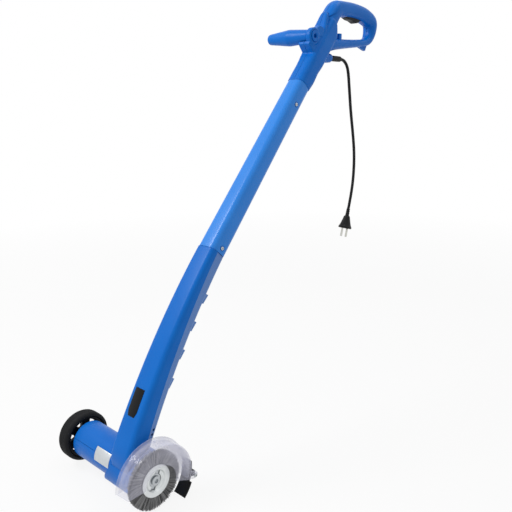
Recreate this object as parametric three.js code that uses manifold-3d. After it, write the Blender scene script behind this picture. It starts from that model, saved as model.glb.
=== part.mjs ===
// Electric patio cleaner: a hand-held machine with a driven joint brush at the foot, a support
// wheel on the far side, a bent tube and a D-handle with a trigger.
// Millimetres, +Z up. X points from the wheel to the brush, Y points back to the operator.
// The origin is the middle of the D-handle's grip, where the machine is carried.
import * as THREE from 'three';
import { mergeVertices } from 'three/addons/utils/BufferGeometryUtils.js';
import Module from 'manifold-3d';

const wasm = await Module();
wasm.setup();

// Driving dimensions, in millimetres and radians
const turn = 2 * Math.PI;
const degree = turn / 360;
const gap = 0.3; // between two seated pieces
const overrun = 1; // how far a cutter passes the face that it cuts
const weld = 1e-4; // vertices closer than this are one

// The machine is laid out from the spindle axis and the tube's mid-plane.
// The middle of the D-handle's grip is measured from where the handle's housing starts.
const grip = { above: 159.04, behind: 31.1, halfHeight: 15, halfWidth: 16 };

// The line that the tube follows, in the mid-plane: a long bend and then straight.
const spine = {
  footRear: -13.2, footRise: 40, footLean: 25.5 * degree, topLean: 39.8 * degree, bendRadius: 1500,
};

const head = {
  motorRadius: 33.4, gearRadius: 40, wall: 2.5, motorEnd: -144, face: 33, edge: 2, nose: 9,
  stepStation: -33, stepLean: 33 * degree, gearRoomStart: -4,
};
const lowerTube = {
  length: 357, footWidth: 50, topWidth: 42, footDepth: 42, topDepth: 38, corner: 9.5, wall: 2.5,
  partingFoot: 9, partingTop: -5, rearInset: 1.3, rearTaper: 6.5, footTuck: 10,
};
const upperTube = {
  length: 438, footWidth: 42, topWidth: 37, footDepth: 38, topDepth: 35, corner: 12, wall: 2.2,
};
const connector = { below: 30, above: 30, wall: 2.5 };

const axle = { radius: 4, headRadius: 7, headLength: 2.7, bossRadius: 12, bossDepth: 8.5 };
const bearing = { bore: 4, radius: 11, width: 7, rearStart: -134, frontStart: -45.6, seatWall: 2.7 };
const rotor = {
  shaftRadius: 4, coreRadius: 17, coreStart: -106, coreEnd: -70, windingRadius: 14, windingLength: 5,
  commutatorRadius: 11, commutatorStart: -124, commutatorEnd: -113,
  fanStart: -62, fanEnd: -53, fanRadius: 27, fanHub: 9, bladeThickness: 1.6, blades: 5,
  fanPlate: 1.6,
};
const stator = {
  bore: 17.9, yokeInner: 26, slotInner: 18.8, coilInner: 19.4, coilOuter: 25.4, coilOverhang: 6,
  poleHalf: 52 * degree, coilMargin: 2 * degree,
};
const carbon = { width: 7, length: 9, holderWidth: 10, holderLength: 12, holderFoot: 14 };

const gear = {
  module: 1.4, sunTeeth: 12, planetTeeth: 12, planets: 3, pressure: 20 * degree,
  addendumShare: 0.8, dedendumShare: 1.1, backlash: 0.3, start: -34, length: 12,
  caseStart: -46, caseWall: 1.7, planetPin: 3, shaftHole: 5.5,
};
const spindle = {
  radius: 6, carrierRadius: 25.5, carrierThickness: 4.5, bearingRadius: 14, bearingStart: 20,
  bearingWidth: 8, flangeRadius: 15, flangeStart: 37.2, hubRadius: 11.2, hubEnd: 46, earReach: 16.2,
  earWidth: 9, screwHeadRadius: 8, screwRadius: 3, screwHead: 3.4, screwLength: 16, socketRadius: 4,
  socketDepth: 2.6, earAngle: 68 * degree,
};
const brush = {
  face: 50, discRadius: 27.5, flange: 2.2, coreRadius: 22, back: 39.6, recessRadius: 19,
  recess: 3.5, keyClearance: 0.4, backingRadius: 27.2, frontPlane: 47.5, tipRadius: 50,
  strands: 60, rows: 5, strandRadius: 0.62, tipStrandRadius: 0.5, rowInset: 0.9, flareShare: 1.25,
  rootDepth: 1.4, raggedness: 1.1,
};

const guard = {
  back: 33.3, backThickness: 2.4, backRadius: 68, backHole: 17.5, rimRadius: 66.2, rimWall: 2.4,
  front: 63.3, frontThickness: 2.4, plateHole: 31, shoulder: 5, frontEdgeRise: 3,
  rearAngle: -21 * degree, lugAngle: -14 * degree, lugReach: 78.5, lugWidth: 12, lugThickness: 5.2,
};
const flap = {
  thickness: 2.8, topAngle: 6 * degree, freeAngle: -24 * degree, endAngle: -47 * degree,
  start: 36.5, tuckedEnd: 57.4, freeEnd: 62.5, bossWidth: 9, bossStart: 47, bossReach: 77.5,
};

const wheel = {
  radius: 45, clearance: 5, width: 27, shoulder: 7, tyreInner: 37, rimInner: 33.4, hubRadius: 9.5,
  bore: 4.4, webThickness: 6, spokes: 6, windowPhase: -11 * degree, spokeWidth: 16,
  windowInner: 18.5, windowOuter: 30.8, standoff: 0.4,
};

// The handle's heights are measured from the upper tube's top end: down to its neck, its flare, the
// flare's waist and its housing, and up to the column's end.
const handle = {
  neckDrop: 69, flareDrop: 48, waistDrop: 25, housingDrop: 5, columnRise: 85, width: 37,
  front: 18.6, rear: 20.4, corner: 9, lip: 1.2, flare: 3.4, waist: 2.4, wall: 2.5, endShare: 0.25,
  loopLength: 150, loopHeight: 66,
};
// The stop block inside the D, beside the column, and the small fin under the D's rear end: places
// as shares of the loop.
const peg = { rearShare: -0.28, width: 18, length: 13, height: 9 };
const fin = { startShare: 0.14, tipShare: 0.355, endShare: 0.4, width: 6, drop: 15 };
// Where the D runs: rearward and upward as shares of the loop, then half height and half width as
// shares of the grip's. The first station is buried in the column.
const loopShares = [
  [-0.52, -0.5, 1.06, 1.0],
  [-0.35, -0.055, 1.03, 1.02],
  [-0.17, 0.005, 1.0, 1.0],
  [0.1, 0.0, 1.0, 1.0],
  [0.34, -0.08, 1.0, 1.0],
  [0.505, -0.25, 0.92, 0.95],
  [0.51, -0.54, 0.76, 0.86],
  [0.45, -0.78, 0.58, 0.76],
  [0.335, -0.88, 0.52, 0.76],
  [0.167, -0.925, 0.52, 0.78],
  [-0.133, -0.99, 0.6, 0.84],
  [-0.42, -1.05, 0.76, 0.95],
  [-0.56, -1.1, 0.9, 0.95],
];
const crest = { above: 30, past: 6, width: 23, endWidth: 16.1, rise: 4.2, corner: 6, tail: 16 };
// How much of its height the pad has at its buried lower end, where it starts and where it falls.
const crestShares = [-0.4, 0.75, 0.7];
const auxSeat = {
  above: 24.29, ahead: 36.9, radius: 15.6, gripFace: 5, hubFace: 16, hubRadius: 11, hubProud: 1.6,
  boltRadius: 4, socketDepth: 3.5, corbelWidth: 27, corbelDrop: 31, corbelReach: 14,
};
const auxGrip = {
  length: 106, rootRadius: 14.6, tipRadius: 8.5, waistShare: 0.47, endRound: 4, boltDepth: 56,
};
const gland = { above: 15.26, behind: 7.72, length: 48.5, rootRadius: 11, endRadius: 7, hole: 5.5 };
const relief = {
  inside: 18.5, length: 30, rootRadius: 5.2, tipRadius: 4.2, flangeRadius: 8, flange: 3, rings: 3,
  ringShare: 0.7, ringDepth: 0.6,
};

// The trigger and the switch are measured from the middle of the grip.
const trigger = {
  ahead: 23, length: 54, pivotRear: 4, pivotDrop: 9, pinRadius: 1.5, pinLength: 16.4, width: 13.6,
  topDrop: 6.6, proud: 8, slotMargin: 1.6, bore: 1.9,
};
const contact = {
  ahead: 12, length: 36, drop: 1.8, height: 9.6, width: 14.6, plungerBehind: 18, plungerRadius: 2,
  plungerStroke: 6, plungerInside: 1.5,
};

const screw = { headRadius: 3.4, headHeight: 2.4, shankRadius: 1.6, postRadius: 4.2, recess: 1.5 };
const rearBoss = {
  below: 83.4, pitch: 51, count: 4, width: 24, length: 14, proud: 1.8, recess: 0.8,
  screwReach: 12,
};
const joinScrew = { above: 10, belowNeck: 45, length: 9, pocketRadius: 4.6, pocketDepth: 1.2 };
const handleScrewColumn = { above: 32, rear: 9.5 };

const badge = { width: 27, endWidth: 20, endLength: 9, length: 46, thickness: 0.9, along: 54 };
const label = {
  length: 41, firstAngle: 137 * degree, lastAngle: 179 * degree, start: -77, thickness: 0.5,
};
const vent = { count: 4, width: 3, length: 24, pitch: 10, start: -128, angle: -62 * degree };
const sideVent = { size: 3.6, first: 24, pitch: 8, depth: 3 };

const loom = { radius: 2.8, side: -7.2, start: 16, endDrop: 12 };
const cord = { radius: 3.1 };
const plug = {
  lean: 15.2 * degree, reliefLength: 17, reliefRadius: 4.6, bodyLength: 28, neckRadius: 7,
  flangeLong: 18.5, flangeShort: 12.5, flange: 4.5, pinRadius: 2.4, pinLength: 19, pinSpacing: 19,
  pinSocket: 5, ribs: 2, reliefTip: 3.9, ribDepth: 0.6,
};
// Where the plug's oval body has its rings: along it, and how far the half sizes have gone from the
// neck's to the flange's, in the side view and across it.
const swellShares = [[0, 0, 0], [0.35, 0.21, 0.19], [0.8, 0.55, 0.5], [1, 1, 1]];
// One rib of the plug's neck: where along its pitch each ring is, and how deep under the rib.
const ribShares = [[0, 0], [0.6, 0], [0.62, 1], [0.98, 1]];

// Numbers of facets
const roundSides = 24;
const fineSides = 28; // the largest turned pieces
const innerSides = 16; // pieces inside the head
const wheelSides = 24;
const coarseSides = 12;
const smallSides = 8; // holes and pins
const screwSides = 7;
const cornerSteps = 2;
const loopSides = 12;
const loopRings = 12;
const postSides = 6;
const plugSides = 8;
const cordSides = 8;
const cordSteps = 19;
const loomSides = 6;
const loomSteps = 18;

// The cord hangs from the gland to its plug: rearward and upward, chosen by hand.
const cordRoute = [
  [548.8, 680.4], [556.0, 680.1], [563.5, 678.0], [570.6, 673.4], [576.3, 666.6], [580.2, 657.8],
  [583.0, 647.0], [586.0, 631.0], [589.5, 612.0], [594.0, 587.0], [599.5, 562.0], [605.5, 537.0],
  [611.0, 512.0], [614.6, 490.0], [616.3, 468.0], [616.2, 446.0], [614.4, 424.0], [610.6, 402.0],
  [605.4, 381.0], [601.2, 365.6],
];

// Colours and finishes
function finish(color, roughness, metalness = 0) {
  return new THREE.MeshStandardMaterial({ color, roughness, metalness });
}

const finishes = {
  blueHousing: () => finish('#1f63bd', 0.35),
  blueTube: () => finish('#2f74d0', 0.25),
  blackPlastic: () => finish('#15171a', 0.5),
  blackRubber: () => finish('#1d1e20', 0.8),
  clearPlastic: () => {
    const clear = finish('#c9ced8', 0.1);
    clear.transparent = true;
    clear.opacity = 0.4;
    return clear;
  },
  silverLabel: () => finish('#c9ccd0', 0.4, 0.3),
  whiteDisc: () => finish('#dfe2e0', 0.35),
  greyNylon: () => finish('#6f7072', 0.7),
  steel: () => finish('#b4b8bc', 0.3, 1),
  laminate: () => finish('#6b6e73', 0.5, 1),
  copper: () => finish('#b3703a', 0.4, 1),
  brass: () => finish('#c8a24b', 0.3, 1),
  whiteNylon: () => finish('#e4e2da', 0.5),
};

// Solids

/** Welds a geometry's vertices, drops its empty triangles and turns its faces outwards. */
function closed(geometry) {
  const bare = new THREE.BufferGeometry();
  bare.setAttribute('position', geometry.getAttribute('position').clone());
  if (geometry.index) bare.setIndex(geometry.index.clone());
  const welded = mergeVertices(bare, weld);
  const place = welded.getAttribute('position');
  const corners = [];
  const [a, b, c] = [new THREE.Vector3(), new THREE.Vector3(), new THREE.Vector3()];
  let volume = 0;
  for (let i = 0; i < welded.index.count; i += 3) {
    const [p, q, r] = [welded.index.getX(i), welded.index.getX(i + 1), welded.index.getX(i + 2)];
    if (p === q || q === r || r === p) continue;
    corners.push(p, q, r);
    volume += a.fromBufferAttribute(place, p).dot(
      b.fromBufferAttribute(place, q).cross(c.fromBufferAttribute(place, r)));
  }
  if (volume < 0) corners.reverse();
  welded.setIndex(corners);
  return welded;
}

/** Turns a closed geometry into a solid that can be joined and cut. */
function solid(geometry) {
  const clean = closed(geometry);
  const vertProperties = Float32Array.from(clean.getAttribute('position').array);
  const triVerts = Uint32Array.from(clean.index.array);
  return new wasm.Manifold(new wasm.Mesh({ numProp: 3, vertProperties, triVerts }));
}

const joined = (first, ...others) => others.reduce((whole, other) => whole.add(other), first);
const without = (first, ...others) => others.reduce((whole, other) => whole.subtract(other), first);

/** The mesh geometry of a solid. */
function shapeOf(body) {
  const { numProp, vertProperties, triVerts } = body.getMesh();
  const geometry = new THREE.BufferGeometry();
  const positions = new Float32Array(vertProperties.length / numProp * 3);
  for (let i = 0; i < positions.length / 3; i += 1) {
    positions.set(vertProperties.subarray(i * numProp, i * numProp + 3), i * 3);
  }
  geometry.setAttribute('position', new THREE.BufferAttribute(positions, 3));
  geometry.setIndex(Array.from(triVerts));
  return geometry;
}

/** Closed skin over a row of rings that have the same number of points. */
function skin(rings) {
  const sides = rings[0].length;
  const positions = rings.flat();
  const corners = [];
  for (let ring = 0; ring + 1 < rings.length; ring += 1) {
    for (let side = 0; side < sides; side += 1) {
      const here = ring * sides + side;
      const next = ring * sides + (side + 1) % sides;
      corners.push(here, next, next + sides, here, next + sides, here + sides);
    }
  }
  for (const [ring, flip] of [[0, true], [rings.length - 1, false]]) {
    const middle = new THREE.Vector3();
    rings[ring].forEach((point) => middle.add(point));
    positions.push(middle.divideScalar(sides));
    for (let side = 0; side < sides; side += 1) {
      const pair = [ring * sides + side, ring * sides + (side + 1) % sides];
      if (flip) pair.reverse();
      corners.push(...pair, positions.length - 1);
    }
  }
  const geometry = new THREE.BufferGeometry();
  const places = positions.flatMap((point) => point.toArray());
  geometry.setAttribute('position', new THREE.Float32BufferAttribute(places, 3));
  geometry.setIndex(corners);
  return geometry;
}

/** A straight-sided solid: an outline in the side view, between two stations along the spindle. */
function slab(points, start, end, holes = []) {
  const outline = new THREE.Shape(points.map(([x, y]) => new THREE.Vector2(x, y)));
  outline.holes = holes.map((hole) => new THREE.Path(hole.map(([x, y]) => new THREE.Vector2(x, y))));
  const geometry = new THREE.ExtrudeGeometry(outline, { depth: end - start, bevelEnabled: false });
  return geometry.translate(0, 0, start);
}

const arc = (radius, from, to, steps, x = 0, y = 0) => Array.from({ length: steps + 1 }, (_, step) => {
  const angle = from + (to - from) * step / steps;
  return [x + radius * Math.cos(angle), y + radius * Math.sin(angle)];
});
const circle = (radius, sides = roundSides, x = 0, y = 0) => arc(radius, 0, turn, sides, x, y).slice(0, -1);

/** Part of a ring about the spindle axis. */
function sector(inner, outer, from, to, start, end, sides = innerSides) {
  const steps = Math.max(2, Math.round(Math.abs(to - from) / turn * sides));
  return slab([...arc(outer, from, to, steps), ...arc(inner, to, from, steps)], start, end);
}

/** A round rod or ring parallel to the spindle axis. */
function rod(radius, start, end, x = 0, y = 0, bore = 0, sides = innerSides) {
  return slab(circle(radius, sides, x, y), start, end, bore ? [circle(bore, sides, x, y)] : []);
}

/** A turned shape about the spindle axis, from [radius, station] pairs. */
function turned(profile, sides = roundSides) {
  const points = profile.map(([radius, station]) => new THREE.Vector2(radius, station));
  return new THREE.LatheGeometry(points, sides).rotateX(turn / 4);
}

/** A turned shape along any line of the side view. */
function turnedAlong(profile, origin, direction, sides = smallSides) {
  const points = profile.map(([radius, station]) => new THREE.Vector2(radius, station));
  const axis = new THREE.Vector3(direction[0], direction[1], direction[2] ?? 0).normalize();
  const spin = new THREE.Quaternion().setFromUnitVectors(new THREE.Vector3(0, 1, 0), axis);
  return new THREE.LatheGeometry(points, sides).applyQuaternion(spin)
    .translate(origin[0], origin[1], origin[2] ?? 0);
}

/** A box between two corners of the side view, and between two stations. */
const block = (left, bottom, right, top, start, end) => slab(
  [[left, bottom], [right, bottom], [right, top], [left, top]], start, end);

const blend = (start, end, share) => start + (end - start) * share;

// The tube's line

const bendLength = spine.bendRadius * (spine.topLean - spine.footLean);

/** The tube's centre and lean at a distance along it. */
function along(distance) {
  const bent = Math.min(Math.max(distance, 0), bendLength);
  const lean = spine.footLean + bent / spine.bendRadius;
  const straight = distance - bent;
  const [across, up] = [
    Math.cos(spine.footLean) - Math.cos(lean), Math.sin(lean) - Math.sin(spine.footLean),
  ];
  return {
    x: spine.footRear + spine.bendRadius * across + straight * Math.sin(lean),
    y: spine.footRise + spine.bendRadius * up + straight * Math.cos(lean),
    lean,
  };
}

/** A point beside the tube's line: how far behind it, and how far towards the brush. */
function beside(distance, rear, side = 0) {
  const { x, y, lean } = along(distance);
  return new THREE.Vector3(x + rear * Math.cos(lean), y - rear * Math.sin(lean), side);
}

/** A rounded rectangle about the tube's line, narrower at the rear by a taper on each side. */
function section({ at, width, front, rear, corner, taper = 0 }) {
  const halfWidth = width / 2;
  const rearHalf = halfWidth - taper;
  const radius = Math.min(corner, rearHalf - weld, (front + rear) / 2 - weld);
  const centres = [
    [rearHalf, rear, 0], [-rearHalf, rear, 1], [-halfWidth, -front, 2], [halfWidth, -front, 3],
  ];
  return centres.flatMap(([side, depth, quarter]) => {
    const x = side - Math.sign(side) * radius;
    const y = depth - Math.sign(depth) * radius;
    const from = quarter * turn / 4;
    return arc(radius, from, from + turn / 4, cornerSteps, x, y).map(([s, d]) => beside(at, d, s));
  });
}

const tubeSkin = (stations) => skin(stations.map(section));

/** Stations spaced along the tube between two distances. */
function stations(from, to, pitch, describe) {
  const steps = Math.max(1, Math.round((to - from) / pitch));
  return Array.from({ length: steps + 1 }, (_, step) => describe(blend(from, to, step / steps)));
}

const tubePitch = 72;
const upperPitch = 155;

// Places along the tube's line, and beside it
const upperTop = lowerTube.length + upperTube.length;
const neckStart = upperTop - handle.neckDrop;
const housingStart = upperTop - handle.housingDrop;
const columnEnd = upperTop + handle.columnRise;
const gripPlace = beside(housingStart + grip.above, grip.behind);
const seatPlace = beside(housingStart + auxSeat.above, -auxSeat.ahead);
const glandPlace = beside(housingStart + gland.above, gland.behind);
const glandEnd = glandPlace.x + gland.length;
const reliefStart = glandEnd - relief.inside;
const triggerFront = gripPlace.x - trigger.ahead;
const triggerTop = gripPlace.y - trigger.topDrop;
const pivot = { rear: triggerFront + trigger.pivotRear, rise: gripPlace.y - trigger.pivotDrop };
const switchStart = gripPlace.x - contact.ahead;
const switchBottom = gripPlace.y - contact.drop;

const foot = along(0);
const footDirection = [Math.sin(spine.footLean), Math.cos(spine.footLean)];
const footStation = -(foot.x * footDirection[0] + foot.y * footDirection[1]);

function lowerSize(at, shrink, inset = 0) {
  const share = at / lowerTube.length;
  const width = blend(lowerTube.footWidth, lowerTube.topWidth, share) - 2 * (shrink + inset);
  const halfDepth = blend(lowerTube.footDepth, lowerTube.topDepth, share) / 2 - shrink;
  const tuck = at < 0 ? lowerTube.footTuck * (at / footStation) ** 2 : 0;
  const corner = Math.max(gap, lowerTube.corner - shrink - inset);
  return { at, width, front: halfDepth - tuck, rear: halfDepth, corner };
}

function upperSize(at, shrink) {
  const share = (at - lowerTube.length) / upperTube.length;
  const width = blend(upperTube.footWidth, upperTube.topWidth, share) - 2 * shrink;
  const halfDepth = blend(upperTube.footDepth, upperTube.topDepth, share) / 2 - shrink;
  return { at, width, front: halfDepth, rear: halfDepth, corner: Math.max(gap, upperTube.corner - shrink) };
}

// Head and lower tube

const farOut = 4 * head.gearRadius; // larger than the head, for the cutters that halve it

/** Everything on one side of the plane through the spindle that the tube stands square on. */
function halfSpace(upper) {
  const shift = (upper ? 1 : -1) * (3 * farOut + gap / 2);
  return new THREE.BoxGeometry(6 * farOut, 6 * farOut, 6 * farOut).translate(0, shift, 0)
    .rotateZ(-spine.footLean);
}

/** The motor's tube, and round the gears a wider one that starts further out at the bottom. */
function headOuter() {
  const { motorRadius, gearRadius, motorEnd, face, edge, stepStation, stepLean } = head;
  const motorTube = turned([
    [0, motorEnd], [motorRadius - edge, motorEnd], [motorRadius, motorEnd + edge],
    [motorRadius, face - edge], [0, face - edge],
  ]);
  const gearTube = turned([
    [0, motorEnd / 2], [gearRadius, motorEnd / 2], [gearRadius, face - edge],
    [gearRadius - edge, face], [0, face],
  ]);
  const beyondStep = new THREE.BoxGeometry(farOut, farOut, farOut).translate(0, 0, farOut / 2)
    .rotateX(stepLean).translate(0, 0, stepStation);
  return joined(solid(motorTube), solid(gearTube).intersect(solid(beyondStep)));
}

function headCavity() {
  const { motorRadius, gearRadius, motorEnd, face, wall, gearRoomStart } = head;
  return turned([
    [0, motorEnd + wall], [motorRadius - wall, motorEnd + wall], [motorRadius - wall, gearRoomStart],
    [gearRadius - wall, gearRoomStart], [gearRadius - wall, face - wall], [0, face - wall],
  ]);
}

/** The head's hollow casting with its bearing seats, before it is halved. */
function headShell() {
  const innerFace = head.motorEnd + head.wall;
  const seatEnd = bearing.rearStart + bearing.width;
  const rearSeat = without(
    solid(rod(axle.bossRadius + bearing.seatWall, innerFace - overrun, seatEnd)),
    solid(rod(axle.radius + gap, head.motorEnd - overrun, seatEnd + overrun)),
    solid(rod(bearing.radius + gap, bearing.rearStart - gap, seatEnd + overrun)),
  );
  const { bearingRadius, bearingStart, bearingWidth } = spindle;
  const frontFace = head.face - head.wall;
  const frontSeat = without(
    solid(rod(bearingRadius + gap + bearing.seatWall, bearingStart - gap, frontFace + overrun)),
    solid(rod(bearingRadius + gap, bearingStart - overrun, bearingStart + bearingWidth + gap)),
    solid(rod(head.nose, head.motorEnd / 2, head.face + overrun)),
  );
  const wall = without(
    headOuter(),
    solid(headCavity()),
    solid(rod(axle.radius + gap, head.motorEnd - overrun, innerFace + overrun)),
    solid(rod(head.nose, frontFace - overrun, head.face + overrun)),
  );
  return joined(wall, rearSeat, frontSeat);
}

const partingAt = (at) => blend(lowerTube.partingFoot, lowerTube.partingTop, at / lowerTube.length);

/** The space in front of the lower tube's parting line, or behind it. */
function partingBox(front) {
  const reach = lowerTube.footWidth;
  const edge = front ? -gap / 2 : gap / 2;
  const rings = stations(footStation - reach, lowerTube.length + overrun, tubePitch, (at) => {
    const near = partingAt(at) + edge;
    const far = front ? -2 * reach : 2 * reach;
    return [[near, reach], [near, -reach], [far, -reach], [far, reach]].map(([d, s]) => beside(at, d, s));
  });
  return skin(rings);
}

const rearBossAt = Array.from({ length: rearBoss.count },
  (_, index) => lowerTube.length - rearBoss.below - index * rearBoss.pitch);
const rearScrewAt = rearBossAt.map((at) => at - rearBoss.length / 2);

/** A line of the side view that goes through the tube from behind. */
function crossAxis(at) {
  const { lean } = along(at);
  return [-Math.cos(lean), Math.sin(lean)];
}

function crossRod(at, radius, fromRear, toRear, side = 0, sides = smallSides) {
  const origin = beside(at, fromRear, side);
  return turnedAlong([[0, 0], [radius, 0], [radius, fromRear - toRear], [0, fromRear - toRear]],
    origin.toArray(), crossAxis(at), sides);
}

function frontShell() {
  const tubeEnds = [footStation - overrun, lowerTube.length];
  const outer = solid(tubeSkin(stations(...tubeEnds, tubePitch, (at) => lowerSize(at, 0))));
  const inner = solid(tubeSkin(stations(footStation - overrun, lowerTube.length + overrun, tubePitch,
    (at) => lowerSize(at, lowerTube.wall))));
  const front = without(outer, inner, solid(headCavity())).intersect(solid(partingBox(true)));
  const posts = rearScrewAt.map((at) => {
    const { front: nearWall, rear: farWall } = lowerSize(at, 0);
    const seat = farWall - lowerTube.wall - gap;
    return without(
      solid(crossRod(at, screw.postRadius, seat, overrun - nearWall, 0, postSides)),
      solid(crossRod(at, screw.shankRadius + gap, seat + overrun, seat - 1.5 * rearBoss.screwReach)),
    );
  });
  const badgeSeat = solid(badgePlate(gap));
  return without(joined(without(headShell(), inner), front, ...posts), badgeSeat, solid(labelPlate(gap)))
    .intersect(solid(halfSpace(true)));
}

/** The rear strip's section, whose sides lean in towards the back, from in front of the parting. */
function stripSize(at, shrink) {
  const { rearInset, rearTaper } = lowerTube;
  const { width, rear, corner } = lowerSize(at, shrink, rearInset);
  return { at, width, front: corner - partingAt(at), rear, corner, taper: rearTaper };
}

function rearShell() {
  const outer = solid(tubeSkin(stations(footStation, lowerTube.length, tubePitch,
    (at) => stripSize(at, 0))));
  const inner = solid(tubeSkin(stations(footStation - overrun, lowerTube.length + overrun, tubePitch,
    (at) => stripSize(at, lowerTube.wall))));
  const pads = rearBossAt.map((at) => {
    const { rear, corner } = stripSize(at, 0);
    const points = [
      beside(at, rear - corner), beside(at, rear + rearBoss.proud),
      beside(at - rearBoss.length, rear + weld), beside(at - rearBoss.length, rear - corner),
    ].map((point) => [point.x, point.y]);
    return solid(slab(points, -rearBoss.width / 2, rearBoss.width / 2));
  });
  const shell = without(joined(outer, ...pads), inner).intersect(solid(partingBox(false)));
  const holes = rearScrewAt.flatMap((at) => {
    const { rear } = lowerSize(at, 0);
    return [
      solid(crossRod(at, screw.headRadius + gap, rear + 2 * rearBoss.proud, rear - rearBoss.recess)),
      solid(crossRod(at, screw.shankRadius + gap, rear, rear - 2 * lowerTube.wall)),
    ];
  });
  const vents = [0, 1].map((index) => {
    const at = sideVent.first + index * sideVent.pitch;
    const { rear, width } = stripSize(at, 0);
    const low = beside(at, (rear + partingAt(at)) / 2, (width - lowerTube.rearTaper) / 2);
    return solid(block(low.x - sideVent.size / 2, low.y - sideVent.size / 2, low.x + sideVent.size / 2,
      low.y + sideVent.size / 2, low.z - sideVent.depth, low.z + overrun));
  });
  const headRoom = solid(rod(head.gearRadius + gap, head.motorEnd, head.face + overrun, 0, 0, 0, roundSides));
  return without(shell, ...holes, ...vents, headRoom);
}

function headBottomShell() {
  const slots = Array.from({ length: vent.count }, (_, index) => {
    const start = vent.start + index * vent.pitch;
    return solid(block(head.motorRadius - 2 * head.wall, -vent.length / 2, head.gearRadius,
      vent.length / 2, start, start + vent.width).rotateZ(vent.angle));
  });
  return without(headShell(), ...slots, solid(labelPlate(gap))).intersect(solid(halfSpace(false)));
}

/** The bare plate on the tube's front face, or with a margin its seat. */
function badgePlate(margin) {
  const from = badge.along - margin;
  const to = badge.along + badge.length + margin;
  return tubeSkin(stations(from, to, tubePitch / 3, (at) => {
    const { front } = lowerSize(at, 0);
    const share = Math.min(1, (at - from) / badge.endLength);
    return {
      at, width: blend(badge.endWidth, badge.width, share) + 2 * margin, front: front + badge.thickness / 2,
      rear: badge.thickness / 2 + margin - front, corner: weld * 2,
    };
  }));
}

/** The bare rating plate, bent round the motor housing. */
function labelPlate(margin) {
  const inner = head.motorRadius - label.thickness / 2 - margin;
  const [start, end] = [label.start - margin, label.start + label.length + margin];
  return sector(inner, head.motorRadius + label.thickness / 2, label.firstAngle - margin / inner,
    label.lastAngle + margin / inner, start, end, 2 * fineSides);
}

// Motor

function rotorShaft() {
  const start = bearing.rearStart + gap;
  const shaft = solid(rod(rotor.shaftRadius, start, gear.start + overrun));
  const pinion = solid(slab(gearOutline(gear.sunTeeth), gear.start, gear.start + gear.length));
  return joined(shaft, pinion);
}

function rotorCore() {
  const { coreStart, coreEnd, coreRadius, windingRadius, windingLength } = rotor;
  const bore = rotor.shaftRadius + gap;
  return turned([
    [bore, coreStart - windingLength], [windingRadius, coreStart - windingLength],
    [windingRadius, coreStart],
    [coreRadius, coreStart], [coreRadius, coreEnd], [windingRadius, coreEnd],
    [windingRadius, coreEnd + windingLength], [bore, coreEnd + windingLength],
    [bore, coreStart - windingLength],
  ], innerSides);
}

function coolingFan() {
  const { fanHub, fanStart, fanEnd, fanRadius, fanPlate, bladeThickness, blades } = rotor;
  const bore = rotor.shaftRadius + gap;
  const hub = solid(rod(fanHub, fanStart, fanEnd, 0, 0, bore, coarseSides));
  const plate = solid(rod(fanRadius, fanStart, fanStart + fanPlate, 0, 0, bore, coarseSides));
  const vanes = Array.from({ length: blades }, (_, index) => solid(
    block(fanHub - overrun, -bladeThickness / 2, fanRadius - overrun, bladeThickness / 2,
      fanStart + weld, fanEnd - weld).rotateZ(index * turn / blades)));
  return joined(hub, plate, ...vanes);
}

function statorCore() {
  const { bore, slotInner, yokeInner, poleHalf, coilMargin } = stator;
  const outer = head.motorRadius - head.wall - gap;
  const ring = solid(rod(outer, rotor.coreStart, rotor.coreEnd, 0, 0, bore));
  const cutStart = rotor.coreStart - overrun;
  const cutEnd = rotor.coreEnd + overrun;
  const slots = [1, -1].map((side) => solid(sector(slotInner, yokeInner, side * poleHalf,
    side * (turn / 2 - poleHalf), cutStart, cutEnd, roundSides)));
  const mouths = [1, -1].map((side) => solid(sector(bore - overrun, slotInner + overrun,
    side * (turn / 4 - coilMargin * 3), side * (turn / 4 + coilMargin * 3), cutStart, cutEnd)));
  return without(ring, ...slots, ...mouths);
}

function fieldCoil(mirror) {
  const start = rotor.coreStart - stator.coilOverhang;
  const end = rotor.coreEnd + stator.coilOverhang;
  const near = stator.poleHalf + stator.coilMargin;
  const far = turn / 4 - stator.coilMargin / 2;
  const bars = [1, -1].map((side) => solid(
    sector(stator.coilInner, stator.coilOuter, side * near, side * far, start, end, coarseSides)));
  const bridges = [[start, rotor.coreStart - gap], [rotor.coreEnd + gap, end]].map(([from, to]) => solid(
    sector(stator.coilInner - weld, stator.coilOuter + weld, -far, far, from, to, coarseSides)));
  const coil = joined(bars[0], bridges[0], bars[1], bridges[1]);
  return shapeOf(coil).rotateZ(mirror ? turn / 2 : 0);
}

function carbonBrush(index) {
  const middle = (rotor.commutatorStart + rotor.commutatorEnd) / 2;
  const outer = head.motorRadius - head.wall - gap;
  const inner = rotor.commutatorRadius + gap;
  const tip = solid(block(inner, -carbon.width / 2, carbon.holderFoot + overrun, carbon.width / 2,
    middle - carbon.length / 2, middle + carbon.length / 2));
  const holder = solid(block(carbon.holderFoot, -carbon.holderWidth / 2,
    Math.sqrt(outer ** 2 - (carbon.holderWidth / 2) ** 2), carbon.holderWidth / 2,
    middle - carbon.holderLength / 2, middle + carbon.holderLength / 2));
  return shapeOf(joined(tip, holder)).rotateZ(index * turn / 2);
}

// Gears

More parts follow.
